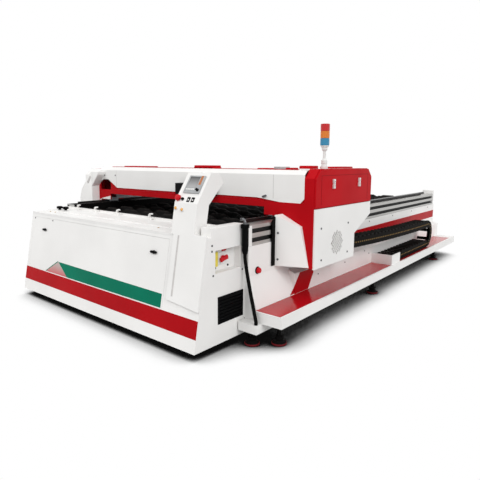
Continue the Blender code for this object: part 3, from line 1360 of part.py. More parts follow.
def make_gantry_beam():
    """A square tube on two saddles, whose blocks ride on the guide rails."""
    front = BEAM_FRONT
    rear = BEAM_REAR
    section = [(front, BEAM_BOTTOM), (rear, BEAM_BOTTOM), (rear, BEAM_TOP), (front, BEAM_TOP)]
    beam = prism("gantry_beam", section, "X", -BEAM_HALF, BEAM_HALF, GROUND_STEEL)
    wall = BEAM_WALL
    bore = [(front + wall, BEAM_BOTTOM + wall), (rear - wall, BEAM_BOTTOM + wall),
            (rear - wall, BEAM_TOP - wall), (front + wall, BEAM_TOP - wall)]
    cut(beam, prism("beam_bore_tool", bore, "X", -BEAM_HALF - OVERRUN, BEAM_HALF + OVERRUN))
    bm = bmesh.new()
    for level in X_RAIL_LEVELS:
        add_box(bm, (-LEG_INNER, front - X_RAIL_DEPTH, level),
                (LEG_INNER, front + GAP, level + X_RAIL_HEIGHT))
    join(beam, finish_object("x_rails_tool", bm, None))
    guide_top = RAIL_TOP + GAP + GUIDE_HEIGHT
    for side in (-1, 1):
        word = "right" if side > 0 else "left"
        low, high = span(side, GUIDE_IN - BLOCK_CLEAR - BLOCK_CHEEK, SADDLE_OUT)
        plate = block(f"saddle_{word}_tool", (low, SADDLE_FRONT, SADDLE_LEVEL),
                      (high, SADDLE_REAR, SADDLE_LEVEL + SADDLE_THICK))
        hole = turned(f"saddle_hole_{word}_tool",
                      [(0, SADDLE_LEVEL - OVERRUN), (SHAFT_RADIUS + SHAFT_CLEAR, SADDLE_LEVEL - OVERRUN),
                       (SHAFT_RADIUS + SHAFT_CLEAR, SADDLE_LEVEL + OVERRUN * 2),
                       (0, SADDLE_LEVEL + OVERRUN * 2)], (side * PINION_X, SERVO_AT, 0))
        cut(plate, hole)
        join(beam, plate)
        inner = GUIDE_IN - BLOCK_CLEAR
        outer = GUIDE_IN + GUIDE_WIDTH + BLOCK_CLEAR
        cheek = BLOCK_CHEEK
        low_z = RAIL_TOP + GUIDE_HEIGHT / 3
        horseshoe = [
            (inner - cheek, low_z), (inner, low_z), (inner, guide_top + BLOCK_CLEAR),
            (outer, guide_top + BLOCK_CLEAR), (outer, low_z), (outer + cheek, low_z),
            (outer + cheek, SADDLE_LEVEL + GAP), (inner - cheek, SADDLE_LEVEL + GAP),
        ]
        bm = bmesh.new()
        for start in (SADDLE_FRONT + GAP, SADDLE_REAR - BLOCK_LENGTH - GAP):
            add_prism(bm, mirrored(horseshoe, side), "Y", start, start + BLOCK_LENGTH)
        join(beam, finish_object(f"blocks_{word}_tool", bm, None))
        low, high = span(side, GUIDE_IN, BEAM_HALF - RISER_WALL)
        riser = block(f"riser_{word}_tool", (low, front + GAP, SADDLE_LEVEL + SADDLE_THICK - GAP),
                      (high, rear - GAP, BEAM_BOTTOM + GAP))
        join(beam, riser)


def make_beam_cover():
    """The white hood over the beam: front, top and back folded from one sheet."""
    sheet = HOOD_SHEET
    front = GANTRY_FRONT
    rear = HOOD_REAR
    top = HOOD_TOP
    face_top = HOOD_FACE_TOP
    slope = HOOD_SLOPE
    outer = [(front, face_top), (front + slope, top), (rear, top), (rear, HOOD_BACK_EDGE)]
    inner = [(rear - sheet, HOOD_BACK_EDGE), (rear - sheet, top - sheet),
             (front + slope + sheet, top - sheet), (front + sheet, face_top - sheet / 2)]
    low = -LEFT_BOX_INNER + GAP
    high = BOX_INNER - GAP
    drop = [(front + sheet, COVER_EDGE_HIGH), (front, COVER_EDGE_HIGH)]
    hood = prism("beam_cover", outer + inner + drop, "X", low, high, WHITE_PAINT)
    face = [
        (low + GAP, COVER_EDGE_HIGH + GAP), (-LEG_INNER - HOOD_STEP_OUT, COVER_EDGE_HIGH + GAP),
        (-LEG_INNER + HOOD_STEP_IN, COVER_EDGE), (LEG_INNER - HOOD_DIP_IN, COVER_EDGE),
        (LEG_INNER + HOOD_DIP_OUT, COVER_EDGE_LOW), (high - slope, COVER_EDGE_LOW),
        (high - GAP, COVER_EDGE_LOW + slope), (high - GAP, face_top - sheet), (low + GAP, face_top - sheet),
    ]
    face_plate = prism("cover_face_tool", face, "Y", front, front + sheet)
    join(hood, face_plate)


def make_cover_caps():
    """Red covers on top of the hood."""
    low = HOOD_TOP + GAP
    front = GANTRY_FRONT + HOOD_SLOPE + GAP
    strip = block("cover_trim", (-LEG_INNER, front, low),
                  (LEG_INNER + CAP_LENGTH * 2, front + CAP_WIDTH, low + HOOD_SHEET), RED_PAINT)
    bm = bmesh.new()
    for share in CAP_SHARES:
        x = share * BOX_INNER
        add_box(bm, (x - CAP_LENGTH / 2, front + CAP_WIDTH / 4, low + GAP),
                (x + CAP_LENGTH / 2, front + CAP_WIDTH * 0.9, low + CAP_HEIGHT))
    join(strip, finish_object("caps_tool", bm, None))


def make_beam_trim():
    """The red strip and pan under the beam."""
    front = GANTRY_FRONT
    sheet = TRIM_SHEET
    section = [
        (front, TRIM_TOP), (front, TRIM_BOTTOM), (TRIM_REAR, TRIM_BOTTOM),
        (TRIM_REAR, TRIM_BOTTOM + sheet), (front + sheet, TRIM_BOTTOM + sheet), (front + sheet, TRIM_TOP),
    ]
    half = LEG_INNER - GAP
    prism("beam_trim", section, "X", -half, half, RED_PAINT)


def make_end_pillar():
    """The white bent column in front of the gantry's left leg."""
    rear = GANTRY_FRONT - GAP
    front = END_PILLAR_FRONT
    view = [(front, END_PILLAR_LOW), (rear, END_PILLAR_LOW), (rear, END_PILLAR_TOP),
            (front + END_PILLAR_SETBACK, END_PILLAR_TOP), (front, END_PILLAR_KINK)]
    pillar = prism("end_pillar", view, "X", -END_PILLAR_OUT, -END_PILLAR_IN, WHITE_PAINT)
    soften(pillar, SHEET / 2)


# Drives, head and signal tower

def make_servo(name, side):
    """An upright drive motor with its gearbox flange, bored for the pinion's shaft."""
    low = SADDLE_LEVEL + SADDLE_THICK + GAP
    half = SERVO_SIDE / 2
    x = side * PINION_X
    flange = SHEET * 1.5
    servo = block(name, (x - half, SERVO_AT - half, low), (x + half, SERVO_AT + half, low + flange),
                  BLACK_PAINT)
    inset = SHEET
    body = block(name + "_body_tool", (x - half + inset, SERVO_AT - half + inset, low + flange / 2),
                 (x + half - inset, SERVO_AT + half - inset, low + SERVO_HEIGHT))
    soften(body, inset)
    join(servo, body)
    bore = turned(name + "_bore_tool", [(0, low - OVERRUN), (SHAFT_RADIUS + SHAFT_CLEAR, low - OVERRUN),
                                        (SHAFT_RADIUS + SHAFT_CLEAR, low + SHAFT_REACH),
                                        (0, low + SHAFT_REACH)], (x, SERVO_AT, 0))
    cut(servo, bore)


def make_head_carriage():
    """Rides on the beam's front rails and reaches through the slot under the hood."""
    left = CARRIAGE_LEFT
    right = CARRIAGE_RIGHT
    arm_low = ARM_LEVEL
    arm_high = arm_low + ARM_THICK
    rail_face = BEAM_FRONT - X_RAIL_DEPTH
    back = rail_face - BLOCK_CLEAR
    plate_front = back - CARRIAGE_PLATE
    box_back = GANTRY_FRONT - CARRIAGE_COVER_CLEAR
    low_rail = X_RAIL_LEVELS[0]
    high_rail = X_RAIL_LEVELS[1] + X_RAIL_HEIGHT
    cheek = CARRIAGE_CHEEK
    reach = rail_face + X_RAIL_DEPTH * 0.6
    view = [
        (CARRIAGE_FRONT, arm_low), (back, arm_low), (back, low_rail - cheek), (reach, low_rail - cheek),
        (reach, low_rail - BLOCK_CLEAR), (back, low_rail - BLOCK_CLEAR), (back, high_rail + BLOCK_CLEAR),
        (reach, high_rail + BLOCK_CLEAR), (reach, high_rail + cheek), (plate_front, high_rail + cheek),
        (plate_front, arm_high), (box_back, arm_high), (box_back, CARRIAGE_TOP),
        (CARRIAGE_FRONT, CARRIAGE_TOP),
    ]
    prism("head_carriage", view, "X", left, right, BLACK_PAINT)


def make_laser_head():
    """The cutting head: a slide plate, a stepped round barrel and the collimator on top."""
    back = CARRIAGE_FRONT - GAP
    center = back - HEAD_REACH
    half = HEAD_RADIUS
    plate = block("laser_head", (HEAD_X - half, back - HEAD_BACK, ARM_LEVEL - half),
                  (HEAD_X + half, back, HEAD_TOP - half), ALUMINIUM)
    low = HEAD_BOTTOM
    top = HEAD_TOP
    barrel = [
        (0, low), (NOZZLE_RADIUS, low), (half * 0.72, low + half), (half * 0.72, low + half * 1.6),
        (half, low + half * 1.6), (half, top - half * 2.4), (half * 0.8, top - half * 2.2),
        (half * 0.8, top - half * 0.6), (half * 0.5, top), (0, top),
    ]
    join(plate, turned("barrel_tool", barrel, (HEAD_X, center, 0)))


def make_nozzle():
    """A copper cone with its bore."""
    center = (HEAD_X, CARRIAGE_FRONT - GAP - HEAD_REACH, 0)
    high = HEAD_BOTTOM - GAP
    tip = NOZZLE_TIP
    radius = NOZZLE_RADIUS
    nozzle = turned("nozzle", [(0, tip), (radius * 0.45, tip), (radius, tip + radius * 2),
                               (radius, high), (0, high)], center, COPPER)
    cut(nozzle, turned("nozzle_bore_tool", [(0, tip - OVERRUN), (NOZZLE_BORE, tip - OVERRUN),
                                            (NOZZLE_BORE, high - radius / 2), (0, high - radius / 2)],
                       center, sides=8))


def make_signal_tower():
    """A folding pole with three stacked lenses."""
    base = GANTRY_TOP + GAP
    center = (TOWER_X, TOWER_AT, 0)
    joint = base + TOWER_BASE_HEIGHT + TOWER_JOINT_RADIUS * 1.5
    ball = TOWER_JOINT_RADIUS
    pole_top = GANTRY_TOP + TOWER_HEIGHT
    profile = [
        (0, base), (TOWER_BASE_RADIUS, base), (TOWER_BASE_RADIUS, base + TOWER_BASE_HEIGHT),
        (TOWER_POLE_RADIUS, base + TOWER_BASE_HEIGHT), (TOWER_POLE_RADIUS, joint - ball),
        (ball, joint - ball / 2), (ball, joint + ball / 2), (TOWER_POLE_RADIUS, joint + ball),
        (TOWER_POLE_RADIUS, pole_top - ball), (TOWER_RADIUS * 0.9, pole_top - ball / 3),
        (TOWER_RADIUS * 0.9, pole_top), (0, pole_top),
    ]
    turned("tower_pole", profile, center, GREY_PLASTIC)
    low = pole_top + GAP
    for name, material in (("lens_blue", LENS_BLUE), ("lens_orange", LENS_ORANGE), ("lens_red", LENS_RED)):
        high = low + LENS_HEIGHT
        seam = LENS_SEAM
        neck = TOWER_RADIUS * 0.92
        lens = [(0, low), (neck, low), (neck, low + seam), (TOWER_RADIUS, low + seam),
                (TOWER_RADIUS, high - seam), (neck, high), (0, high)]
        turned(name, lens, center, material)
        low = high + GAP


def make_hose_sleeve():
    """The thick upper sleeve of the hose with its collar, on the console's rear corner."""
    outwards, forwards, level = HOSE_ROUTE[0]
    collar = SIDE_BLOCK_TOP - HOSE_COLLAR_HEIGHT
    center = (CONSOLE_HALF + outwards, CONSOLE_REAR - forwards, 0)
    low = level + GAP
    radius = HOSE_SLEEVE_RADIUS
    profile = [
        (0, low), (radius * 0.7, low), (radius, low + radius), (radius, collar),
        (HOSE_COLLAR_RADIUS, collar), (HOSE_COLLAR_RADIUS, SIDE_BLOCK_TOP), (0, SIDE_BLOCK_TOP),
    ]
    turned("hose_sleeve", profile, center, BLACK_PLASTIC)


# Assembly

make_base_frame()
make_side_ledge()
make_feet()
for hand, word in ((1, "right"), (-1, "left")):
    make_rail_profile(f"rail_profile_{word}", hand)
    make_guide_rail(f"guide_rail_{word}", hand)
    make_gear_rack(f"gear_rack_{word}", hand)
    make_pinion(f"pinion_{word}", hand)
    make_rail_end_cap(f"rail_end_cap_{word}", hand)
    make_servo(f"servo_{word}", hand)
make_slat_bed()
make_console_shell()
make_front_door()
make_door_latch("door_latch_left", LATCH_X[0])
make_door_latch("door_latch_right", LATCH_X[1])
make_deck_plate()
make_control_pillar()
make_jog_knob(make_screen())
make_estop("estop_button", head_place(ESTOP_X, ESTOP_UP_SHARE))
make_rocker("rocker_left", ROCKER_X[0])
make_rocker("rocker_right", ROCKER_X[1])
make_estop("estop_side", side_place(ESTOP_SIDE_AT, ESTOP_SIDE_LEVEL, BED_HALF))
make_side_vent()
make_main_switch()
make_hose()
make_hose_sleeve()
make_drag_chain()
make_chain_anchor()
open_leg_side(make_leg("leg_right", 1, BOX_INNER, LEG_OUTER, GANTRY_TOP))
make_leg("leg_left", -1, LEFT_BOX_INNER, SIDE, GANTRY_TOP - LEFT_TOP_DROP)
make_leg_panel()
make_cabinet_cover()
make_upper_door()
make_catch("catch_front", CATCH_AT[0])
make_catch("catch_rear", CATCH_AT[1])
make_gantry_beam()
make_beam_cover()
make_cover_caps()
make_beam_trim()
make_end_pillar()
make_head_carriage()
make_laser_head()
make_nozzle()
make_signal_tower()
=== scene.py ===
# %% [markdown]
# # An open-bed sheet cutting machine with a travelling gantry
# The solids of the machine come from its CAD source. They are the fixed frame of this lesson: none
# of them is moved or reshaped, and two have a fuller piece that stands for them. Here they get their
# real finishes, and the small things that a workshop machine carries, such as films, screws, lamps
# and chain pins, are built around them.

# %% Load the frame
import math

import bmesh
import bpy
from mathutils import Matrix, Vector


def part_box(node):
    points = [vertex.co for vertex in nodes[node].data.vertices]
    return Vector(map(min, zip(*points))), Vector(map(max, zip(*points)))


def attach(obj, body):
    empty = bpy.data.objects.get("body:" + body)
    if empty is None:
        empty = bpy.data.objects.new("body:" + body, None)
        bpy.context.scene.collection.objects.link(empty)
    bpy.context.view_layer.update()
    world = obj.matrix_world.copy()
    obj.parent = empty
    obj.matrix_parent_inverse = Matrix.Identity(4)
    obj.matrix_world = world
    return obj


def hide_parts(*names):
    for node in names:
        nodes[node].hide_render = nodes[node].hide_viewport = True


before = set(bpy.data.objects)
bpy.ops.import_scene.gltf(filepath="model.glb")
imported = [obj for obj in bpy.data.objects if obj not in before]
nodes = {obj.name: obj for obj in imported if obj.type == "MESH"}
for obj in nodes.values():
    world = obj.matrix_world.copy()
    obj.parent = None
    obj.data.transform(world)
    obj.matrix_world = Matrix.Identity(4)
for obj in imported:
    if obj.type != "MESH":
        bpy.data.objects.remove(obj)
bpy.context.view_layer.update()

# %% [markdown]
# ## Camera
# The photograph looks at the right front corner from a little above the hood, with a fairly wide
# lens. The camera stands where the converging edges of the bed and of the console say it stood. The
# image is 480 pixels wide, so a focal length in pixels becomes millimetres on a 36 mm sensor.

# %% Camera
IMAGE_SIDE = 480
SENSOR = 36.0
PHOTO_FOCAL = 250.7
ENLARGED = 1.75
PHOTO_CENTER = Vector((242.0, 168.0))
MACHINE_CENTER = Vector((244.3, 178.5))
CAMERA_AT = (2.676, -3.724, 1.112)
TILT_DOWN, ROLL, TURN = 7.73, -0.24, 39.93

camera_data = bpy.data.cameras.new("photo_camera")
camera = bpy.data.objects.new("photo_camera", camera_data)
bpy.context.scene.collection.objects.link(camera)
bpy.context.scene.camera = camera
camera.location = CAMERA_AT
camera.rotation_euler = (math.radians(90 - TILT_DOWN), math.radians(ROLL), math.radians(TURN))
camera_data.sensor_width = SENSOR
camera_data.lens = SENSOR * PHOTO_FOCAL * ENLARGED / IMAGE_SIDE
off_center = (MACHINE_CENTER - PHOTO_CENTER) * ENLARGED / IMAGE_SIDE
camera_data.shift_x = off_center.x
camera_data.shift_y = -off_center.y
camera_data.clip_end = 200
print("lens", round(camera_data.lens, 1), "mm, shift", [round(v, 4) for v in off_center])

# %% [markdown]
# ## Colours and nodes
# Colours are written as sRGB hex values, as a colour chart gives them, and turned to the linear
# values that the shaders need. One helper adds a node with its settings and its links.

# %% Helpers for materials
def linear(hex_color):
    """The linear colour of an sRGB hex value, with full alpha."""
    parts = [int(hex_color[i:i + 2], 16) / 255 for i in (1, 3, 5)]
    return tuple(p / 12.92 if p <= 0.04045 else ((p + 0.055) / 1.055) ** 2.4 for p in parts) + (1.0,)


def add_node(tree, kind, settings=None, links=None):
    """Adds a node. Settings are its values by name, links are inputs by name and their sources."""
    node = tree.nodes.new(kind)
    for name, value in (settings or {}).items():
        if isinstance(name, int) or name in node.inputs:
            node.inputs[name].default_value = value
        else:
            setattr(node, name, value)
    for name, source in (links or {}).items():
        tree.links.new(source, node.inputs[name])
    return node


def new_finish(name, roughness, metallic=0.0):
    """A material with its shader, and coordinates in metres in the frame of the machine."""
    material = bpy.data.materials.new(name)
    material.use_nodes = True
    tree = material.node_tree
    shader = tree.nodes["Principled BSDF"]
    shader.inputs["Roughness"].default_value = roughness
    shader.inputs["Metallic"].default_value = metallic
    place = add_node(tree, "ShaderNodeTexCoord").outputs["Object"]
    return material, tree, shader, place


def ramp(tree, source, low, low_color, high, high_color):
    """A colour that runs from one to another between two levels of a pattern."""
    node = add_node(tree, "ShaderNodeValToRGB", links={"Fac": source})
    node.color_ramp.elements[0].position = low
    node.color_ramp.elements[0].color = low_color
    node.color_ramp.elements[1].position = high
    node.color_ramp.elements[1].color = high_color
    return node.outputs["Color"]


def grain(tree, place, size_mm, detail=3.0, stretch=(1, 1, 1)):
    """A noise whose grains are about this many millimetres, drawn out along an axis if asked."""
    spread = add_node(tree, "ShaderNodeMapping", {"Scale": stretch}, {"Vector": place})
    return add_node(tree, "ShaderNodeTexNoise", {"Scale": 1000 / size_mm, "Detail": detail},
                    {"Vector": spread.outputs["Vector"]}).outputs["Fac"]


def add_bump(tree, shader, height, strength, deep_mm):
    """Bumps of a real height on the shader's surface."""
    bump = add_node(tree, "ShaderNodeBump", {"Strength": strength, "Distance": deep_mm / 1000},
                    {"Height": height})
    tree.links.new(bump.outputs["Normal"], shader.inputs["Normal"])


print("material helpers ready")

# %% [markdown]
# ## Studio
# A plain white floor that runs into a white world, so no horizon shows. The paper is dark close under
# the machine, because an ambient occlusion node finds what stands over it, and that is the soft
# shadow of the photograph. To the light that bounces off it the floor is a light grey, so it doesn't
# light the machine too strongly from below. Metal and glass see the same white as the camera.

# %% Floor and world
FLOOR_SIDE = 120
SHADOW_REACH = 0.27
SHADOW_DARK, SHADOW_CLEAR = 0.36, 0.80
WALL_LIGHT = 0.68


def make_studio():
    bpy.ops.mesh.primitive_plane_add(size=FLOOR_SIDE, location=(0, 0, 0))
    floor = bpy.context.object
    floor.name = "studio_floor"
    material, tree, shader, place = new_finish("studio_paper", 0.9)
    shader.inputs["Specular IOR Level"].default_value = 0.0
    shader.inputs["Base Color"].default_value = linear("#BCBCBC")
    covered = add_node(tree, "ShaderNodeAmbientOcclusion", {"Distance": SHADOW_REACH, "samples": 16})
    paper = ramp(tree, covered.outputs["AO"], SHADOW_DARK, linear("#0C0C0C"), SHADOW_CLEAR,
                 (1, 1, 1, 1))
    path = add_node(tree, "ShaderNodeLightPath")
    seen = add_node(tree, "ShaderNodeMath", {"operation": "MAXIMUM"},
                    {0: path.outputs["Is Camera Ray"], 1: path.outputs["Is Glossy Ray"]})
    white = add_node(tree, "ShaderNodeEmission", {"Strength": 1.0}, {"Color": paper})
    mix = add_node(tree, "ShaderNodeMixShader", links={0: seen.outputs[0], 1: shader.outputs[0],
                                                       2: white.outputs[0]})
    tree.links.new(mix.outputs[0], tree.nodes["Material Output"].inputs["Surface"])
    floor.data.materials.append(material)

    world = bpy.data.worlds.new("studio_world")
    world.use_nodes = True
    bpy.context.scene.world = world
    tree = world.node_tree
    path = add_node(tree, "ShaderNodeLightPath")
    seen = add_node(tree, "ShaderNodeMath", {"operation": "MAXIMUM"},
                    {0: path.outputs["Is Camera Ray"], 1: path.outputs["Is Glossy Ray"]})
    seen = add_node(tree, "ShaderNodeMath", {"operation": "MAXIMUM"},
                    {0: seen.outputs[0], 1: path.outputs["Is Transmission Ray"]})
    level = add_node(tree, "ShaderNodeMapRange", {"To Min": WALL_LIGHT, "To Max": 1.0},
                     {"Value": seen.outputs[0]})
    tree.links.new(level.outputs["Result"], tree.nodes["Background"].inputs["Strength"])
    tree.nodes["Background"].inputs["Color"].default_value = (1, 1, 1, 1)


make_studio()
print("floor and world made")

# %% [markdown]
# Two broad suns light the machine: one from above the front and a little left, the other from above
# the right side. Their strengths are set so that each painted face renders near its colour in the
# photograph.

# %% Lamps
def add_sun(name, strength, width_deg, toward):
    data = bpy.data.lights.new(name, "SUN")
    data.energy = strength
    data.angle = math.radians(width_deg)
    lamp = bpy.data.objects.new(name, data)
    lamp.rotation_mode = "QUATERNION"
    lamp.rotation_quaternion = Vector(toward).to_track_quat("-Z", "Y")
    bpy.context.scene.collection.objects.link(lamp)


add_sun("key_lamp", 1.05, 25, (0.25, 0.80, -0.9))
add_sun("side_lamp", 1.20, 30, (-0.9, 0.25, -0.6))
print("two suns set")
bpy.context.scene.view_settings.view_transform = "Standard"

# %% [markdown]
# ## White powder coat
# Sheet steel sprayed with polyester powder and baked: a hard satin film with a faint orange peel.
# The peel is 2 to 4 mm wide, so it is drawn as a shallow bump, and slow cloudy changes of shade and
# gloss keep the large panels from looking like card.

# %% White powder coat
def make_powder_coat(name, hex_color, shade_hex, roughness=0.38, gleam=0.5):
    material, tree, shader, place = new_finish(name, roughness)
    shader.inputs["Specular IOR Level"].default_value = gleam
    cloud = grain(tree, place, 420, 2.0)
    color = ramp(tree, cloud, 0.35, linear(shade_hex), 0.62, linear(hex_color))
    tree.links.new(color, shader.inputs["Base Color"])
    gloss = add_node(tree, "ShaderNodeMapRange",
                     {"To Min": roughness - 0.06, "To Max": roughness + 0.10},
                     {"Value": grain(tree, place, 160, 2.0)})
    tree.links.new(gloss.outputs["Result"], shader.inputs["Roughness"])
    add_bump(tree, shader, grain(tree, place, 3.5, 2.0), 0.12, 0.25)
    shader.inputs["IOR"].default_value = 1.5
    return material


white_coat = make_powder_coat("white_powder_coat", "#EEEDEB", "#E8E7E5")
red_coat = make_powder_coat("red_powder_coat", "#B90C17", "#AC0A14", 0.40, 0.05)
# A darker red for painted shade: the shade in the door's pressed frame line and between the catches'
# ribs.
red_painted_shade = make_powder_coat("red_coat_painted_shade", "#7A0811", "#70070F", 0.5, 0.05)
print("powder coats made")

# %% [markdown]
# ## Coloured films
# Cast vinyl film is smoother than the coat under it. The ledge's red is a wet lacquer, rubbed to a
# gloss, so it mirrors the white wall beside it and looks pinkish at a flat angle. The wedge at the
# band's left end fades from a greyish pink to red, which follows the height over the floor.

# %% Coloured films
red_film = make_powder_coat("red_vinyl_film", "#AE0C15", "#A40A13", 0.36, 0.05)
green_film = make_powder_coat("green_vinyl_film", "#04745A", "#046B52", 0.36, 0.05)
copper_film = make_powder_coat("orange_panel_film", "#C07A4E", "#B06C44", 0.35, 0.2)
ledge_gloss = make_powder_coat("red_gloss_lacquer", "#B40B17", "#A80913", 0.13, 0.4)


def make_fading_film():
    material, tree, shader, place = new_finish("fading_vinyl_film", 0.30)
    height = add_node(tree, "ShaderNodeSeparateXYZ", links={"Vector": place}).outputs["Y"]
    rise = add_node(tree, "ShaderNodeMapRange", {"From Min": 0.19, "From Max": 0.29}, {"Value": height})
    speckle = add_node(tree, "ShaderNodeMath", {"operation": "MULTIPLY_ADD", 1: 0.15},
                       {0: grain(tree, place, 60), 2: rise.outputs["Result"]})
    tree.links.new(ramp(tree, speckle.outputs[0], 0.05, linear("#C4484C"), 0.85, linear("#B7A39F")),
                   shader.inputs["Base Color"])
    return material


tip_film = make_fading_film()
print("films made")

# %% [markdown]
# ## Metals
# Extruded aluminium has straight die lines along its length and a clear anodised film, so its gloss
# is drawn out along the rail. Ground and turned steel have finer lines.

# %% Aluminium and ground steel
def make_drawn_metal(name, hex_color, line_mm, stretch, roughness):
    material, tree, shader, place = new_finish(name, roughness, 1.0)
    lines = grain(tree, place, line_mm, 3.0, stretch)
    base = linear(hex_color)
    dark = tuple(c * 0.82 for c in base[:3]) + (1.0,)
    tree.links.new(ramp(tree, lines, 0.3, dark, 0.7, base), shader.inputs["Base Color"])
    gloss = add_node(tree, "ShaderNodeMapRange",
                     {"To Min": roughness - 0.08, "To Max": roughness + 0.12},
                     {"Value": lines})
    tree.links.new(gloss.outputs["Result"], shader.inputs["Roughness"])
    add_bump(tree, shader, lines, 0.15, 0.1)
    return material


ground_steel = make_drawn_metal("ground_steel", "#B9BCC0", 3, (1, 0.05, 1), 0.28)
head_metal = make_drawn_metal("turned_aluminium", "#C4C6C9", 4, (1, 1, 0.05), 0.30)
copper = make_drawn_metal("turned_copper", "#C77B4E", 2, (1, 1, 0.05), 0.25)
brass = make_drawn_metal("turned_brass", "#A8823C", 2, (1, 1, 0.05), 0.30)
dark_steel = make_drawn_metal("blackened_steel", "#6B6C6E", 2, (1, 1, 0.05), 0.35)
oiled_steel = make_drawn_metal("oiled_rack_steel", "#3B3A3A", 3, (1, 0.05, 1), 0.34)
print("metals made")

# %% [markdown]
# The rails' T-slots show as dark bars between the pale lands. That darkness is painted shade: black
# colour lies where the metal is more than 1 mm behind the outer face and between the two lands.

# %% Rails with painted shade in their slots
SLOT_FACE = 1.0488
SLOT_SHADE_ZONE = (1.015, 0.606, 0.722)


def make_rail_metal():
    material = make_drawn_metal("rail_aluminium", "#BFBEBB", 5, (1, 0.02, 1), 0.36)
    tree = material.node_tree
    shader = tree.nodes["Principled BSDF"]
    place = add_node(tree, "ShaderNodeTexCoord").outputs["Object"]
    split = add_node(tree, "ShaderNodeSeparateXYZ", links={"Vector": place})
    across = add_node(tree, "ShaderNodeMath", {"operation": "ABSOLUTE"}, {0: split.outputs["X"]})
    inner, low, high = SLOT_SHADE_ZONE
    painted_slot_shade = None
    for source, kind, level in ((across.outputs[0], "LESS_THAN", SLOT_FACE),
                                (across.outputs[0], "GREATER_THAN", inner),
                                (split.outputs["Z"], "GREATER_THAN", low),
                                (split.outputs["Z"], "LESS_THAN", high)):
        test = add_node(tree, "ShaderNodeMath", {"operation": kind, 1: level}, {0: source})
        if painted_slot_shade is None:
            painted_slot_shade = test.outputs[0]
        else:
            painted_slot_shade = add_node(tree, "ShaderNodeMath", {"operation": "MULTIPLY"},
                              {0: painted_slot_shade, 1: test.outputs[0]}).outputs[0]
    # Painted shade: black, matt and not metallic inside the slots.
    for name, dark in (("Base Color", linear("#0B0A0A")), ("Metallic", (0, 0, 0, 1)),
                       ("Roughness", (0.7, 0.7, 0.7, 1))):
        before = shader.inputs[name].links[0].from_socket if shader.inputs[name].links else None
        mix = add_node(tree, "ShaderNodeMix", {"data_type": "RGBA"})
        mix.inputs[6].default_value = (1, 1, 1, 1)
        mix.inputs[7].default_value = dark
        if before:
            tree.links.new(before, mix.inputs[6])
        tree.links.new(painted_slot_shade, mix.inputs[0])
        tree.links.new(mix.outputs[2], shader.inputs[name])
    return material


rail_metal = make_rail_metal()
print("rail metal made")

# %% [markdown]
# Hot-rolled slats keep their dark mill scale. Cutting burns and dusts their upper edges, so they are
# paler and rougher near the top of the teeth.

# %% Scaled slats
def make_slat_steel():
    material, tree, shader, place = new_finish("scaled_slat_steel", 0.8)
    shader.inputs["Specular IOR Level"].default_value = 0.25
    split = add_node(tree, "ShaderNodeSeparateXYZ", links={"Vector": place})
    patches = grain(tree, place, 30, 4.0)
    high = add_node(tree, "ShaderNodeMapRange", {"From Min": 0.655, "From Max": 0.69},
                    {"Value": split.outputs["Z"]})
    dust = add_node(tree, "ShaderNodeMath", {"operation": "MULTIPLY"},
                    {0: high.outputs["Result"], 1: patches})
    color = ramp(tree, dust.outputs[0], 0.25, linear("#0A0909"), 0.62, linear("#2E2A28"))
    tree.links.new(color, shader.inputs["Base Color"])
    add_bump(tree, shader, grain(tree, place, 6, 3.0), 0.3, 0.4)
    return material


slat_steel = make_slat_steel()
print("slat steel made")

# %% [markdown]
# ## Plastics, rubber and paint
# Moulded parts have a fine even texture from the mould. Rubber is duller, and black paint on the
# drives is smoother than both.

# %% Moulded plastics
def make_moulded(name, hex_color, roughness, texture_mm=1.6, strength=0.2, gleam=0.15):
    material, tree, shader, place = new_finish(name, roughness)
    shader.inputs["Specular IOR Level"].default_value = gleam
    base = linear(hex_color)
    pale = tuple(min(1.0, c * 1.15 + 0.001) for c in base[:3]) + (1.0,)
    tree.links.new(ramp(tree, grain(tree, place, 40, 2.0), 0.35, base, 0.7, pale),
                   shader.inputs["Base Color"])
    add_bump(tree, shader, grain(tree, place, texture_mm, 2.0), strength, 0.15)
    return material


black_plastic = make_moulded("moulded_black_nylon", "#070708", 0.55, gleam=0.04)
chain_nylon = make_moulded("oiled_chain_nylon", "#070503", 0.60, gleam=0.03)
black_paint = make_moulded("black_machine_paint", "#0B0B0C", 0.48, 3.0, 0.1, 0.05)
seam_grey = make_moulded("shaded_seam_paint", "#C3C0BE", 0.60)
black_rubber = make_moulded("black_rubber", "#090808", 0.75, gleam=0.05)
red_rubber = make_moulded("dark_red_rubber", "#5C0D14", 0.60)
red_plastic = make_moulded("red_button_plastic", "#BE1420", 0.28, 3.0, 0.05)
yellow_plastic = make_moulded("yellow_switch_plastic", "#D8C850", 0.40)
amber_glass = make_moulded("amber_lamp_glass", "#E0A044", 0.15, 3.0, 0.05, 0.5)
grey_plastic = make_moulded("light_grey_plastic", "#DCDCDA", 0.40)
panel_grey = make_moulded("operator_panel_film", "#A3A5A6", 0.32, 1.0, 0.05)
print("plastics, rubber and paints made")

# %% [markdown]
# The screen is switched off: a smooth coated glass pane. Its pale lower half is a painted reflection of
# the room's light: the colour follows the height on the pane, pale below and dark above.

# %% Screen glass
def make_screen_glass():
    material, tree, shader, place = new_finish("coated_screen_glass", 0.12)
    height = add_node(tree, "ShaderNodeSeparateXYZ", links={"Vector": place}).outputs["Y"]
    # Painted reflection: pale low on the pane, dark high up.
    rise = add_node(tree, "ShaderNodeMapRange", {"From Min": -0.02, "From Max": 0.055},
                    {"Value": height})
    tree.links.new(ramp(tree, rise.outputs["Result"], 0.0, linear("#A6A6A6"), 1.0, linear("#3C3C3D")),
                   shader.inputs["Base Color"])
    return material


glass_grey = make_screen_glass()
print("screen glass made")
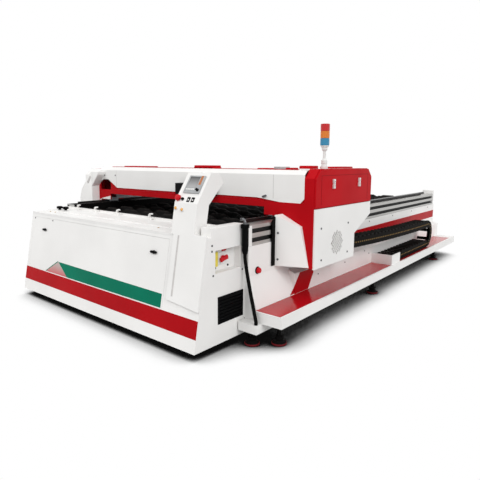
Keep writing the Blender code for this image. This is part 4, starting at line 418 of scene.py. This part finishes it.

# %% [markdown]
# ## Lenses of the signal tower
# Translucent moulded lenses with upright ribs inside. Light comes through them, and the faint glow they
# show while off is painted light: a weak emission in each lens's own colour.

# %% Signal lenses
def make_lens(name, hex_color):
    material, tree, shader, place = new_finish(name, 0.22)
    shader.inputs["Base Color"].default_value = linear(hex_color)
    shader.inputs["Transmission Weight"].default_value = 0.25
    # Painted glow: a weak emission in the lens's own colour, though the lamp is off.
    shader.inputs["Emission Color"].default_value = linear(hex_color)
    shader.inputs["Emission Strength"].default_value = 0.10
    ribs = add_node(tree, "ShaderNodeTexWave", {"Scale": 1000 / 12, "bands_direction": "DIAGONAL"},
                    {"Vector": place})
    add_bump(tree, shader, ribs.outputs["Fac"], 0.25, 0.8)
    return material


lens_red = make_lens("red_signal_lens", "#C4161C")
lens_orange = make_lens("orange_signal_lens", "#D97A1C")
lens_blue = make_lens("blue_signal_lens", "#2C86AC")
print("signal lenses made")

# %% [markdown]
# ## Give the CAD nodes their finishes
# The shapes stay as they are. Only what fills their material slots changes.

# %% Finishes of the nodes
def dress(material, *names):
    for name in names:
        data = nodes[name].data
        data.materials.clear()
        data.materials.append(material)


dress(white_coat, "base_frame", "side_ledge", "rail_end_cap_right", "rail_end_cap_left", "console_shell",
      "front_door", "deck_plate", "control_pillar", "chain_anchor", "leg_panel", "cabinet_cover",
      "beam_cover", "end_pillar")
dress(red_coat, "leg_right", "leg_left", "upper_door", "cover_trim", "beam_trim")
dress(rail_metal, "rail_profile_right", "rail_profile_left")
dress(head_metal, "laser_head")
dress(oiled_steel, "guide_rail_right", "guide_rail_left", "gear_rack_right", "gear_rack_left")
dress(ground_steel, "pinion_right", "pinion_left", "gantry_beam")
dress(slat_steel, "slat_bed")
dress(black_plastic, "door_latch_left", "door_latch_right", "rocker_left", "rocker_right", "jog_knob",
      "side_vent", "hose_sleeve")
dress(chain_nylon, "drag_chain")
dress(black_paint, "servo_right", "servo_left", "head_carriage")
dress(black_rubber, "machine_hose", *[n for n in nodes if n.startswith("foot_")])
dress(red_plastic, "estop_button", "estop_side", "switch_handle")
dress(grey_plastic, "catch_front", "catch_rear", "tower_pole", "switch_plate")
dress(panel_grey, "screen_panel")
dress(copper, "nozzle")
dress(lens_red, "lens_red")
dress(lens_orange, "lens_orange")
dress(lens_blue, "lens_blue")
print("dressed", len(nodes), "nodes")

# %% [markdown]
# ## Ways to build the small pieces
# Painted fields and films are thin sheets cut to their outline. They lie on a face of the machine,
# given by a point on it and by two directions in it. A ray from outside finds where a face lies, so
# a screw sits on the sheet that carries it whatever the size of the machine is.

# %% Helpers for pieces
FRONT = -2.1
SKIN = 0.0006


def face_frame(origin, across, up):
    """A placing whose local x and y lie in a face and whose z points off it."""
    across = Vector(across).normalized()
    up = Vector(up).normalized()
    place = Matrix((across, up, across.cross(up))).transposed().to_4x4()
    place.translation = Vector(origin)
    return place


def on_node(name, at, toward, up=(0, 0, 1)):
    """The place where a ray from outside meets a node, turned to lie on its surface."""
    toward = Vector(toward)
    found, spot, normal, _ = nodes[name].ray_cast(Vector(at) - toward * 3, toward)
    if not found:
        raise ValueError(f"no surface of {name} at {at}")
    up = Vector(up) - normal * normal.dot(Vector(up))
    return face_frame(spot, up.cross(normal), up)


def add_piece(name, bm, material, body, place=Matrix.Identity(4), smooth=False):
    """Makes an object of a mesh, with a finish, and lets it ride on a body."""
    bmesh.ops.recalc_face_normals(bm, faces=bm.faces)
    mesh = bpy.data.meshes.new(name)
    bm.to_mesh(mesh)
    bm.free()
    mesh.materials.append(material)
    if smooth:
        mesh.shade_smooth()
        mesh.set_sharp_from_angle(angle=math.radians(35))
    piece = bpy.data.objects.new(name, mesh)
    piece.matrix_world = place
    bpy.context.scene.collection.objects.link(piece)
    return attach(piece, body)


def ring_into(bm, rings):
    """Joins closed rings of points into a skin with both ends filled."""
    made = [[bm.verts.new(point) for point in ring] for ring in rings]
    count = len(made[0])
    for low, high in zip(made, made[1:]):
        for i in range(count):
            bm.faces.new((low[i], low[(i + 1) % count], high[(i + 1) % count], high[i]))
    bm.faces.new(made[0][::-1])
    bm.faces.new(made[-1])


def outline_into(bm, outline, low, high):
    """Adds a plate of this outline between two heights to a mesh."""
    ring_into(bm, [[(x, y, z) for x, y in outline] for z in (low, high)])


def turned_into(bm, profile, place=Matrix.Identity(4), sides=14):
    """Adds a round form. The profile's pairs are a radius and a height over the face."""
    turns = [math.tau * i / sides for i in range(sides)]
    ring_into(bm, [[place @ Vector((r * math.cos(t), r * math.sin(t), h)) for t in turns]
                   for r, h in profile])


def tube_into(bm, points, radius, sides=14):
    """Adds a tube along points. Each ring is turned square to the line there."""
    points = [Vector(p) for p in points]
    side = Vector((0, 1, 0))
    rings = []
    for number, point in enumerate(points):
        ahead = points[min(number + 1, len(points) - 1)]
        behind = points[max(number - 1, 0)]
        along = (ahead - behind).normalized()
        side = (side - along * side.dot(along)).normalized()
        other = along.cross(side)
        rings.append([point + (side * math.cos(t) + other * math.sin(t)) * radius
                      for t in (math.tau * i / sides for i in range(sides))])
    ring_into(bm, rings)


def film(name, outline, material, body, place, thick=SKIN):
    """A thin sheet cut to an outline, laid on a face."""
    bm = bmesh.new()
    outline_into(bm, outline, 0.00005, thick)
    return add_piece(name, bm, material, body, place)


def box_outline(wide, tall, x=0.0, y=0.0):
    return [(x - wide / 2, y - tall / 2), (x + wide / 2, y - tall / 2), (x + wide / 2, y + tall / 2),
            (x - wide / 2, y + tall / 2)]


def soft_plate(name, outline, deep, edge, material, body, place):
    """A thick plate of any outline with rounded outer edges, standing on a face."""
    bm = bmesh.new()
    outline_into(bm, outline, 0, deep)
    far = [e for e in bm.edges if max(v.co.z for v in e.verts) > deep / 2]
    bmesh.ops.bevel(bm, geom=far, offset=edge, segments=3, profile=0.5, affect="EDGES")
    return add_piece(name, bm, material, body, place, smooth=True)


def soft_box(name, wide, tall, deep, edge, material, body, place):
    """A small housing with rounded edges, standing on a face."""
    return soft_plate(name, box_outline(wide, tall), deep, edge, material, body, place)


# %% [markdown]
# ## Painted fields of the console
# A red stripe crosses the console's foot, and a green band lies over it on the door. Its left end
# slants and carries a pale red wedge with a dark edge. On the machine they are cut from coloured
# film and pressed on the white coat. A film is 0.1 mm thick, and is drawn 0.6 mm so that it shows.

# %% Console front films
LEAN = Vector((0, 0.111, 0.622)).normalized()
FOOT_LEVEL = 0.05
console_front = face_frame((0, FRONT, FOOT_LEVEL), (1, 0, 0), LEAN)


def lean_film(name, points, material, body, thick=SKIN):
    """A film on the leaning front. Its points are places across and levels over the floor."""
    outline = [(x, (z - FOOT_LEVEL) / LEAN.z) for x, z in points]
    return film(name, outline, material, body, console_front, thick)


lean_film("stripe_front", [(-1.0195, 0.134), (1.0195, 0.130), (1.0195, 0.234), (-1.0195, 0.2365)],
          red_film, "machine")
lean_film("band_front", [(-0.376, 0.2425), (0.700, 0.2425), (0.700, 0.326), (-0.523, 0.338)],
          green_film, "front_door_body")
lean_film("band_tip", [(-0.690, 0.2425), (-0.378, 0.2425), (-0.5245, 0.3365)], tip_film,
          "front_door_body")
lean_film("band_edge", [(-0.704, 0.2425), (-0.692, 0.2425), (-0.5245, 0.338), (-0.531, 0.342)],
          green_film, "front_door_body")
print("films on the console's front")

# %% [markdown]
# ## Painted fields of the bed
# The bed's side has a red stripe under its rails. The ledge has a glossy red top between its white
# lips, and a red band runs down the lower box to it from under the gantry's leg.

# %% Bed films
BED_SIDE = 1.05
LOWER_SIDE = 1.115
FLANK_LEAN = (-0.065, 0, 0.192)
FLANK_STRETCH = Vector(FLANK_LEAN).length / FLANK_LEAN[2]
LEDGE_LEVEL = 0.218
LOWER_BOX_FRONT = 0.87
bed_side = face_frame((BED_SIDE, FRONT, 0), (0, 1, 0), (0, 0, 1))
lower_side = face_frame((LOWER_SIDE, FRONT, 0), (0, 1, 0), (0, 0, 1))
flank_side = face_frame((LOWER_SIDE, FRONT, LEDGE_LEVEL), (0, 1, 0), FLANK_LEAN)
ledge_top = face_frame((0, FRONT, 0.2143), (1, 0, 0), (0, 1, 0))

film("stripe_side", [(0.84, 0.440), (4.199, 0.440), (4.199, 0.526), (0.84, 0.526)], red_film,
     "machine", bed_side)
film("band_side", [(0.8705, 0.2150), (1.052, 0.2150), (1.122, 0.325), (1.116, 0.358), (0.936, 0.358),
                   (0.8705, 0.276)], red_film, "machine", lower_side)
film("band_flank", [(0.815, 0.0004), (0.8692, 0.0004), (0.8692, 0.033 * FLANK_STRETCH)], red_film,
     "machine", flank_side)
film("band_step", [(1.1156, 0.2190), (1.1156, 0.2760), (1.1048, 0.2500)], red_film, "machine",
     face_frame((0, FRONT + LOWER_BOX_FRONT, 0), (1, 0, 0), (0, 0, 1)))
film("ledge_red", [(1.1165, 0.432), (1.3015, 0.432), (1.3015, 4.06), (1.1165, 4.06)], ledge_gloss,
     "machine", ledge_top, 0.0002)
print("films on the bed and the ledge")

# %% [markdown]
# ## Screws
# The sheets are held by button-head screws, 12 to 15 mm wide: a low dome with a six-sided socket.
# All screws of one body that share a finish are one mesh, because they never move apart.

# %% Screws
SCREW_RADIUS = 0.0075


def screw_into(bm, place, radius=SCREW_RADIUS):
    """A dome with a socket sunk into its top."""
    turned_into(bm, [(radius, -0.001), (radius, radius * 0.18), (radius * 0.84, radius * 0.42),
                     (radius * 0.52, radius * 0.56), (radius * 0.46, radius * 0.56),
                     (radius * 0.42, radius * 0.20)], place, sides=12)


def screws(name, body, spots, material=None, radius=SCREW_RADIUS):
    """Screws on faces of nodes. Each spot is a node, a point and the way towards the face."""
    bm = bmesh.new()
    for node, at, toward in spots:
        screw_into(bm, on_node(node, at, toward, (0, 1, 0) if toward[2] else (0, 0, 1)), radius)
    return add_piece(name, bm, material or dark_steel, body, smooth=True)


INWARD = (-1, 0, 0)
REARWARD = (0, 1, 0)
DOWNWARD = (0, 0, -1)
screws("door_screws", "front_door_body",
       [("front_door", (x, 0, 0.641), REARWARD) for x in (-0.968, -0.679)], radius=0.006)
screws("console_screws", "machine",
       [("console_shell", (0, FRONT + y, z), INWARD)
        for y, z in ((0.148, 0.645), (0.147, 0.612), (0.157, 0.470), (0.419, 0.462))], radius=0.0065)
screws("bed_screws", "machine",
       [("base_frame", (0, FRONT + y, z), INWARD)
        for y, z in ((2.234, 0.578), (2.809, 0.578), (3.384, 0.578), (3.959, 0.578), (1.192, 0.297),
                     (1.627, 0.309), (2.005, 0.345), (2.10, 0.309))], radius=0.006)
screws("cover_screws", "gantry",
       [("cabinet_cover", (0, FRONT + y, z), INWARD)
        for y, z in ((0.884, 0.687), (1.272, 0.687), (1.272, 0.477), (0.894, 0.477))]
       + [("leg_panel", (1.075, 0, z), REARWARD) for z in (0.655, 0.480)])
screws("hood_screws", "gantry",
       [("beam_cover", (x, 0, 0.985), REARWARD) for x in (-0.985, -0.815)], radius=0.007)
screws("deck_screws", "machine",
       [("deck_plate", (x, FRONT + y, 0), DOWNWARD)
        for x, y in ((-0.895, 0.200), (-0.815, 0.200), (0.500, 0.200))], brass, 0.006)
print("screws set")

# %% [markdown]
# ## The control pillar
# A window and an orange strip lie behind the panel's film, with a row of keys under them. Two amber
# lamps sit in grey rings under the head, and a key switch stands between the emergency stop and
# the rocker keys. The rockers have a pale mark in their middle. A narrow slot divides the cover.

# %% Panel, lamps and keys
PANEL_X = 0.833
panel_face = on_node("screen_panel", (PANEL_X, 0, 0.985), REARWARD)
film("panel_window", box_outline(0.078, 0.078, -0.018, 0.012), glass_grey, "machine", panel_face, 0.0008)
film("panel_strip", box_outline(0.017, 0.060, 0.043, 0.022), copper_film, "machine", panel_face, 0.0052)
keys = bmesh.new()
for column in range(5):
    outline_into(keys, box_outline(0.011, 0.010, -0.050 + column * 0.0145, -0.038), 0, 0.0016)
add_piece("panel_keys", keys, grey_plastic, "machine", panel_face)

lamps = bmesh.new()
rings = bmesh.new()
for x, z in ((0.748, 0.842), (0.802, 0.836)):
    place = on_node("control_pillar", (x, 0, z), REARWARD)
    turned_into(lamps, [(0.0095, 0), (0.0095, 0.004), (0.0078, 0.0085), (0.004, 0.011)], place)
    turned_into(rings, [(0.0135, 0), (0.0135, 0.0025), (0.0120, 0.0038), (0.0100, 0.0038)], place)
add_piece("pillar_lamps", lamps, amber_glass, "machine", smooth=True)
add_piece("pillar_lamp_rings", rings, grey_plastic, "machine", smooth=True)

key_switch = bmesh.new()
key_place = on_node("control_pillar", (0.787, 0, 0.895), REARWARD)
turned_into(key_switch, [(0.010, 0), (0.010, 0.003), (0.008, 0.005), (0.0075, 0.011), (0.006, 0.012)],
            key_place)
outline_into(key_switch, box_outline(0.003, 0.013), 0.010, 0.020)
add_piece("pillar_key_switch", key_switch, black_plastic, "machine", smooth=True)
for word, x in (("left", 0.835), ("right", 0.870)):
    film(f"rocker_mark_{word}", box_outline(0.009, 0.011), grey_plastic, f"rocker_{word}_body",
         on_node(f"rocker_{word}", (x, 0, 0.895), REARWARD), 0.0007)

slot_place = on_node("control_pillar", (0.797, 0, 0.51), REARWARD)
film("pillar_slot", box_outline(0.014, 0.36), seam_grey, "machine", slot_place, 0.0004)
print("pillar dressed")

# %% [markdown]
# ## Main switch, side stop and hose fitting
# The isolator has a yellow strip beside its grey plate, and a red tag over its handle. The second
# stop sits in a black collar. A dark steel elbow takes the hose's upper end round to the console.

# %% Console side details
RECESS_FLOOR = 0.965
soft_box("switch_strip", 0.036, 0.088, 0.008, 0.002, yellow_plastic, "machine",
         face_frame((RECESS_FLOOR, FRONT + 0.232, 0.545), (0, 1, 0), (0, 0, 1)))
soft_box("switch_tag", 0.034, 0.016, 0.010, 0.003, red_plastic, "machine",
         face_frame((RECESS_FLOOR, FRONT + 0.306, 0.5955), (0, 1, 0), (0, 0, 1)))
soft_box("switch_grip", 0.066, 0.017, 0.012, 0.004, red_plastic, "switch_handle_body",
         face_frame((0.9805, FRONT + 0.290, 0.545), (0, 1, 0), (0, 0, 1))
         @ Matrix.Rotation(math.radians(24), 4, "Z"))
screws("switch_screws", "machine",
       [("console_shell", (0, FRONT + y, z), INWARD)
        for y, z in ((0.226, 0.598), (0.232, 0.492), (0.345, 0.494))], black_plastic, 0.007)

collar = bmesh.new()
turned_into(collar, [(0.024, 0), (0.024, 0.003), (0.021, 0.0055), (0.013, 0.0055)],
            on_node("base_frame", (0, FRONT + 0.568, 0.438), INWARD)
            @ Matrix.Translation((-0.035, 0, 0)), 20)
add_piece("side_stop_collar", collar, black_plastic, "machine", smooth=True)

HOSE_TOP = Vector((1.0462, -1.688, 0.742))
BEND = 0.020
ELBOW_RADIUS = 0.0088
ELBOW_STEPS = 8
fitting = bmesh.new()
turned_into(fitting, [(0.016, 0), (0.016, 0.006), (0.014, 0.008), (0.0105, 0.008)],
            Matrix.Translation(HOSE_TOP + Vector((0, 0, 0.0003))), 6)
route = [HOSE_TOP + Vector((0, 0, 0.006))]
for step in range(ELBOW_STEPS + 1):
    turn = math.radians(90) * step / ELBOW_STEPS
    route.append(HOSE_TOP + Vector((-BEND * (1 - math.cos(turn)), 0, 0.009 + BEND * math.sin(turn))))
route.append(route[-1] + Vector((-0.014, 0, -0.001)))
tube_into(fitting, route, ELBOW_RADIUS)
add_piece("hose_elbow", fitting, dark_steel, "machine", smooth=True)
print("elbow ends at", [round(v, 3) for v in route[-1]])

# %% [markdown]
# ## Rails
# The right rail's front end has a white plate over it. Thin black sheets on the rails' inner sides and
# on the left rail's top are painted shade: they darken these faces as the shade inside the bed does. On
# the deck's left, two knurled knobs hold the sheet stops, drawn with 12 grips each.

# %% Rail plate, painted shade sheets and knobs
RAIL_START = 0.4405
RAIL_END = 4.145
RAIL_TOP = 0.73
RAIL_INSIDE = 0.93
GRIPS = 12
film("rail_plate_right",
     [(RAIL_START, 0.602), (0.472, 0.602), (0.472, 0.727), (RAIL_START, 0.727)],
     white_coat, "machine", bed_side, 0.0018)
# Painted shade: black sheets on the left rail's top and on the rails' inner sides.
film("rail_painted_shade_top", [(-1.049, RAIL_START), (-0.931, RAIL_START), (-0.931, RAIL_END),
                       (-1.049, RAIL_END)],
     black_rubber, "machine", face_frame((0, FRONT, RAIL_TOP), (1, 0, 0), (0, 1, 0)), 0.0002)
for word, side in (("left", -1), ("right", 1)):
    film(f"rail_painted_shade_{word}", [(RAIL_START, 0.604), (RAIL_END, 0.604), (RAIL_END, 0.7298),
                               (RAIL_START, 0.7298)], black_rubber, "machine",
         face_frame((side * RAIL_INSIDE, FRONT, 0), (0, -side, 0), (0, 0, 1))
         @ Matrix.Scale(-side, 4, (1, 0, 0)), 0.0004)
knobs = bmesh.new()
for x, y in ((-0.925, 0.300), (-0.845, 0.310)):
    place = on_node("deck_plate", (x, FRONT + y, 0), DOWNWARD, (0, 1, 0))
    turned_into(knobs, [(0.012, 0), (0.012, 0.010), (0.022, 0.011), (0.022, 0.026), (0.018, 0.031),
                        (0.006, 0.032)], place, sides=24)
    for grip in range(GRIPS):
        turn = math.tau * grip / GRIPS
        turned_into(knobs, [(0.0035, 0.012), (0.0035, 0.026), (0.002, 0.029)],
                    place @ Matrix.Translation((0.0215 * math.cos(turn), 0.0215 * math.sin(turn), 0)), 6)
add_piece("deck_knobs", knobs, black_plastic, "machine", smooth=True)
print("rail plate, dust and knobs made")

# %% [markdown]
# ## Gantry
# The hood is two sheets that meet in narrow seams, with a red plate behind its lower edge. A black strip
# at the leg panel's inner edge is painted shade, for the shaded gap between the panel and the bed.
# Behind the diamond grille lies a pale filter mat. The door is pressed with a shallow frame line, and
# the shade in that line is painted as thin dark red strips.

# %% Seams, latch, backing and painted gap shade
HOOD_INSIDE = -1.2925
for word, x in (("right", 0.975), ("left", -0.80)):
    seam_place = on_node("beam_cover", (x, 0, 0.95), REARWARD)
    film(f"hood_seam_{word}", box_outline(0.0035, 0.160), seam_grey, "gantry", seam_place, 0.0004)
soft_box("hood_latch", 0.034, 0.013, 0.011, 0.003, dark_steel, "gantry",
         on_node("beam_cover", (0.904, 0, 0.883), REARWARD) @ Matrix.Rotation(math.radians(20), 4, "Z"))

backing = bmesh.new()
outline_into(backing, [(-0.8985, 0.8575), (0.8990, 0.8575), (0.8990, 0.8497), (1.2165, 0.8497),
                       (1.2165, 1.020), (1.170, 1.020), (1.170, 0.945), (-0.8985, 0.945)], 0, 0.0025)
add_piece("hood_backing", backing, red_coat, "gantry",
          face_frame((0, HOOD_INSIDE, 0), (1, 0, 0), (0, 0, 1)))

# Painted shade: a black strip for the shaded gap at the leg panel's inner edge.
gap_shade = bmesh.new()
outline_into(gap_shade, [(0.676, 0.440), (0.7088, 0.440), (0.7088, 0.762), (0.676, 0.735)], 0, 0.007)
add_piece("panel_gap_shade", gap_shade, black_rubber, "gantry",
          face_frame((1.0532, FRONT, 0), (0, 1, 0), (0, 0, 1)))
print("hood seams, latch, backing and wiper made")

# %% Filter mat, door lines and catch lines
MAT_FACE = 1.272
DOOR_FACE = 1.2991
mat_disc = bmesh.new()
turned_into(mat_disc, [(0.086, 0), (0.086, 0.002)],
            face_frame((MAT_FACE, FRONT + 1.11, 0.568), (0, 1, 0), (0, 0, 1)), 32)
add_piece("grille_mat", mat_disc, grey_plastic, "gantry")

# Painted shade: dark red strips where the door's pressed frame line lies in shade.
door_face = face_frame((DOOR_FACE, FRONT + 1.225, 0.940), (0, 1, 0), (0, 0, 1))
for name, outline in (("line_top", box_outline(0.70, 0.0025, 0, 0.088)),
                      ("line_rear", box_outline(0.0025, 0.19, 0.352, -0.006)),
                      ("line_front", box_outline(0.0025, 0.19, -0.352, -0.006))):
    film(f"door_{name}", outline, red_painted_shade, "upper_door_body", door_face, 0.0004)
# Painted shade: two dark red lines on each catch, for the shade between its ribs.
for word, y in (("front", 1.03), ("rear", 1.42)):
    for number, step in enumerate((-0.014, 0.014)):
        film(f"catch_line_{word}_{number}", box_outline(0.014, 0.003), red_painted_shade, f"catch_{word}_body",
             on_node(f"catch_{word}", (0, FRONT + y, 0.972 + step), INWARD), 0.0005)
print("filter mat and lines made")

# %% [markdown]
# ## Covers on top of the gantry
# A narrow red strip runs along the hood's front edge, with pressed covers over the cable exits. The
# CAD solid of this trim has its covers evenly spaced. This piece has them where the photograph does,
# and stands for the whole solid.

# %% Covers on top of the gantry
LEG_TOP = 1.0703
HOOD_LEVEL = 1.0623


def cover_into(bm, left, right, front, rear, low, high, edge):
    """A pressed cover: a low box whose upper edges are rounded over."""
    def ring(inset, level):
        return [(left + inset, front + inset, level), (right - inset, front + inset, level),
                (right - inset, rear - inset, level), (left + inset, rear - inset, level)]
    ring_into(bm, [ring(0, low), ring(0, high - edge), ring(edge * 0.3, high - edge * 0.3),
                   ring(edge, high)])


trim = bmesh.new()
cover_into(trim, -0.9, 1.14, -1.2697, -1.2400, HOOD_LEVEL, HOOD_LEVEL + 0.004, 0.001)
for left, right, rise in ((-0.715, -0.355, 0.011), (0.19, 0.395, 0.012), (0.195, 0.285, 0.024),
                          (0.300, 0.390, 0.024), (0.815, 0.910, 0.010), (1.050, 1.090, 0.014)):
    cover_into(trim, left, right, -1.2690, -1.1750, HOOD_LEVEL + 0.0002, HOOD_LEVEL + rise, 0.004)
hood_trim = add_piece("hood_trim", trim, red_coat, "gantry", smooth=True)
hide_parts("cover_trim")

for number, (y, length, high) in enumerate(((0.925, 0.10, 0.020), (1.32, 0.34, 0.012))):
    soft_box(f"leg_cap_{number}", 0.09, length, high, high / 3, red_coat, "gantry",
             face_frame((1.17, FRONT + y, LEG_TOP), (1, 0, 0), (0, 1, 0)))
soft_box("hood_cap_grey", 0.095, 0.06, 0.016, 0.005, panel_grey, "gantry",
         face_frame((0.985, FRONT + 0.885, HOOD_LEVEL + 0.0042), (1, 0, 0), (0, 1, 0)))
print("covers set on the gantry")

# %% [markdown]
# ## The left end
# The white pillar at the gantry's left end leans inward above its knee and meets the hood with a
# short shoulder. A pressed cover with rounded edges stands for the plain CAD pillar. Thin white
# plates close the corner between pillar and hood, the slope over it, and the foot of the red leg.
# That last one is shaped like an L. It is made as two convex plates, because a triangle of the
# single plate left its outline and cut through the rack.

# %% Left end
GANTRY_FACE = face_frame((0, -1.3003, 0), (1, 0, 0), (0, 0, 1))
pillar_cover = soft_plate(
    "end_pillar_cover",
    [(-1.3, 0.45), (-1.085, 0.45), (-1.085, 0.880), (-1.085, 1.018), (-1.097, 1.018), (-1.232, 0.880),
     (-1.268, 0.848), (-1.3, 0.76)], 0.0797, 0.005, white_coat, "gantry", GANTRY_FACE)
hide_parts("end_pillar")
soft_plate("end_pillar_shoulder",
           [(-1.0846, 0.880), (-0.985, 0.985), (-0.975, 1.018), (-1.0846, 1.018)],
           0.0790, 0.005, white_coat, "gantry", GANTRY_FACE)
leg_low, leg_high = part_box("leg_left")
LEG_EDGE = leg_low.x + 0.0005
CORNER_SIDE = -1.0605
SLOPE = 0.06
face_top = leg_high.z - SLOPE
film("end_corner_plate", [(LEG_EDGE, 0.70), (-1.0848, 0.70), (-1.0848, 0.890), (-1.061, 0.914),
                          (-1.001, 0.9448), (CORNER_SIDE, 0.9448), (CORNER_SIDE, face_top),
                          (LEG_EDGE, face_top)], white_coat, "gantry", GANTRY_FACE, 0.002)
film("end_slope_plate", [(LEG_EDGE, 0), (CORNER_SIDE, 0), (CORNER_SIDE, SLOPE * math.sqrt(2)),
                         (LEG_EDGE, SLOPE * math.sqrt(2))], white_coat, "gantry",
     face_frame((0, -1.3002, face_top), (1, 0, 0), (0, 1, 1)), 0.001)
film("leg_left_plate", [(-1.084, 0.600), (-1.0535, 0.600), (-1.0535, 0.7575), (-1.075, 0.745),
                        (-1.084, 0.720)], white_coat, "gantry", GANTRY_FACE, 0.0015)
film("leg_left_sill", [(-1.0535, 0.7575), (-0.903, 0.7575), (-0.903, 0.789), (-0.97, 0.777),
                       (-1.048, 0.7605)], white_coat, "gantry", GANTRY_FACE, 0.0015)
soft_box("end_pillar_slot", 0.026, 0.085, 0.002, 0.0008, seam_grey, "gantry",
         face_frame((-1.128, -1.3800, 0.940), (1, 0, 0), (0, 0, 1))
         @ Matrix.Rotation(math.radians(-42), 4, "Z"))
print("left end covered")

# %% [markdown]
# ## Foot of the signal tower
# The tower's pole folds down for transport: a moulded skirt holds its joint, and a knob under the
# lenses locks them.

# %% Tower joint
pole_low, pole_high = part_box("tower_pole")
pole_middle = (pole_low + pole_high) / 2
lens_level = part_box("lens_blue")[0].z
joint = bmesh.new()
turned_into(joint, [(0.0215, 0), (0.0215, 0.008), (0.0185, 0.020), (0.0172, 0.052), (0.011, 0.064)],
            Matrix.Translation((pole_middle.x, pole_middle.y, pole_low.z + 0.004)), 24)
turned_into(joint, [(0.011, -0.036), (0.0165, -0.031), (0.0188, -0.022), (0.0188, -0.012),
                    (0.0165, -0.006)],
            Matrix.Translation((pole_middle.x, pole_middle.y, lens_level)), 24)
add_piece("tower_joint", joint, grey_plastic, "gantry", smooth=True)
print("tower joint at", [round(v, 3) for v in pole_middle])

# %% [markdown]
# ## Drag chain pins
# Each link turns on a brass-coloured pin, 12 mm wide, which shows as a dotted line along the chain.
# The pins follow the chain's own path: a straight lower run, a half turn and a gently rising upper
# run.

# %% Drag chain pins
CHAIN_BEND_RADIUS = 0.105
CHAIN_LOW = 0.2543
CHAIN_FIXED_END = 0.07
CHAIN_BEND_AT = 1.17
CHAIN_FREE_END = -0.74
CHAIN_RISE = 0.055
CHAIN_OUTSIDE = 1.272
CHAIN_PITCH = 0.078


def chain_spot(run):
    """The place on the chain's middle line after a length from its fixed end."""
    lower = CHAIN_BEND_AT - CHAIN_FIXED_END
    bend = math.pi * CHAIN_BEND_RADIUS
    upper = CHAIN_BEND_AT - CHAIN_FREE_END
    if run <= lower:
        return CHAIN_FIXED_END + run, CHAIN_LOW
    if run <= lower + bend:
        turn = (run - lower) / CHAIN_BEND_RADIUS
        return (CHAIN_BEND_AT + CHAIN_BEND_RADIUS * math.sin(turn),
                CHAIN_LOW + CHAIN_BEND_RADIUS * (1 - math.cos(turn)))
    share = (run - lower - bend) / upper
    return CHAIN_BEND_AT - share * upper, CHAIN_LOW + 2 * CHAIN_BEND_RADIUS + CHAIN_RISE * share ** 2


chain_length = 2 * CHAIN_BEND_AT - CHAIN_FIXED_END - CHAIN_FREE_END + math.pi * CHAIN_BEND_RADIUS
links = round(chain_length / CHAIN_PITCH)
pins = bmesh.new()
for number in range(1, 2 * links):
    y, z = chain_spot(chain_length * number / (2 * links))
    place = face_frame((CHAIN_OUTSIDE, y, z), (0, 1, 0), (0, 0, 1))
    turned_into(pins, [(0.006, -0.001), (0.006, 0.0012), (0.004, 0.002)], place, 8)
add_piece("chain_pins", pins, brass, "machine", smooth=True)
print(2 * links - 1, "pins on", links, "links")

# %% [markdown]
# ## Feet
# Each levelling foot stands in a dark red rubber ring.

# %% Foot rings
for name in sorted(n for n in nodes if n.startswith("foot_")):
    low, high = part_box(name)
    middle = (low + high) / 2
    ring = bmesh.new()
    turned_into(ring, [(0.0462, 0.003), (0.0475, 0.005), (0.0475, 0.012), (0.0462, 0.0145)],
                Matrix.Translation((middle.x, middle.y, 0)), 24)
    add_piece(name.replace("foot", "foot_ring"), ring, red_rubber, "machine", smooth=True)
print("foot rings made")
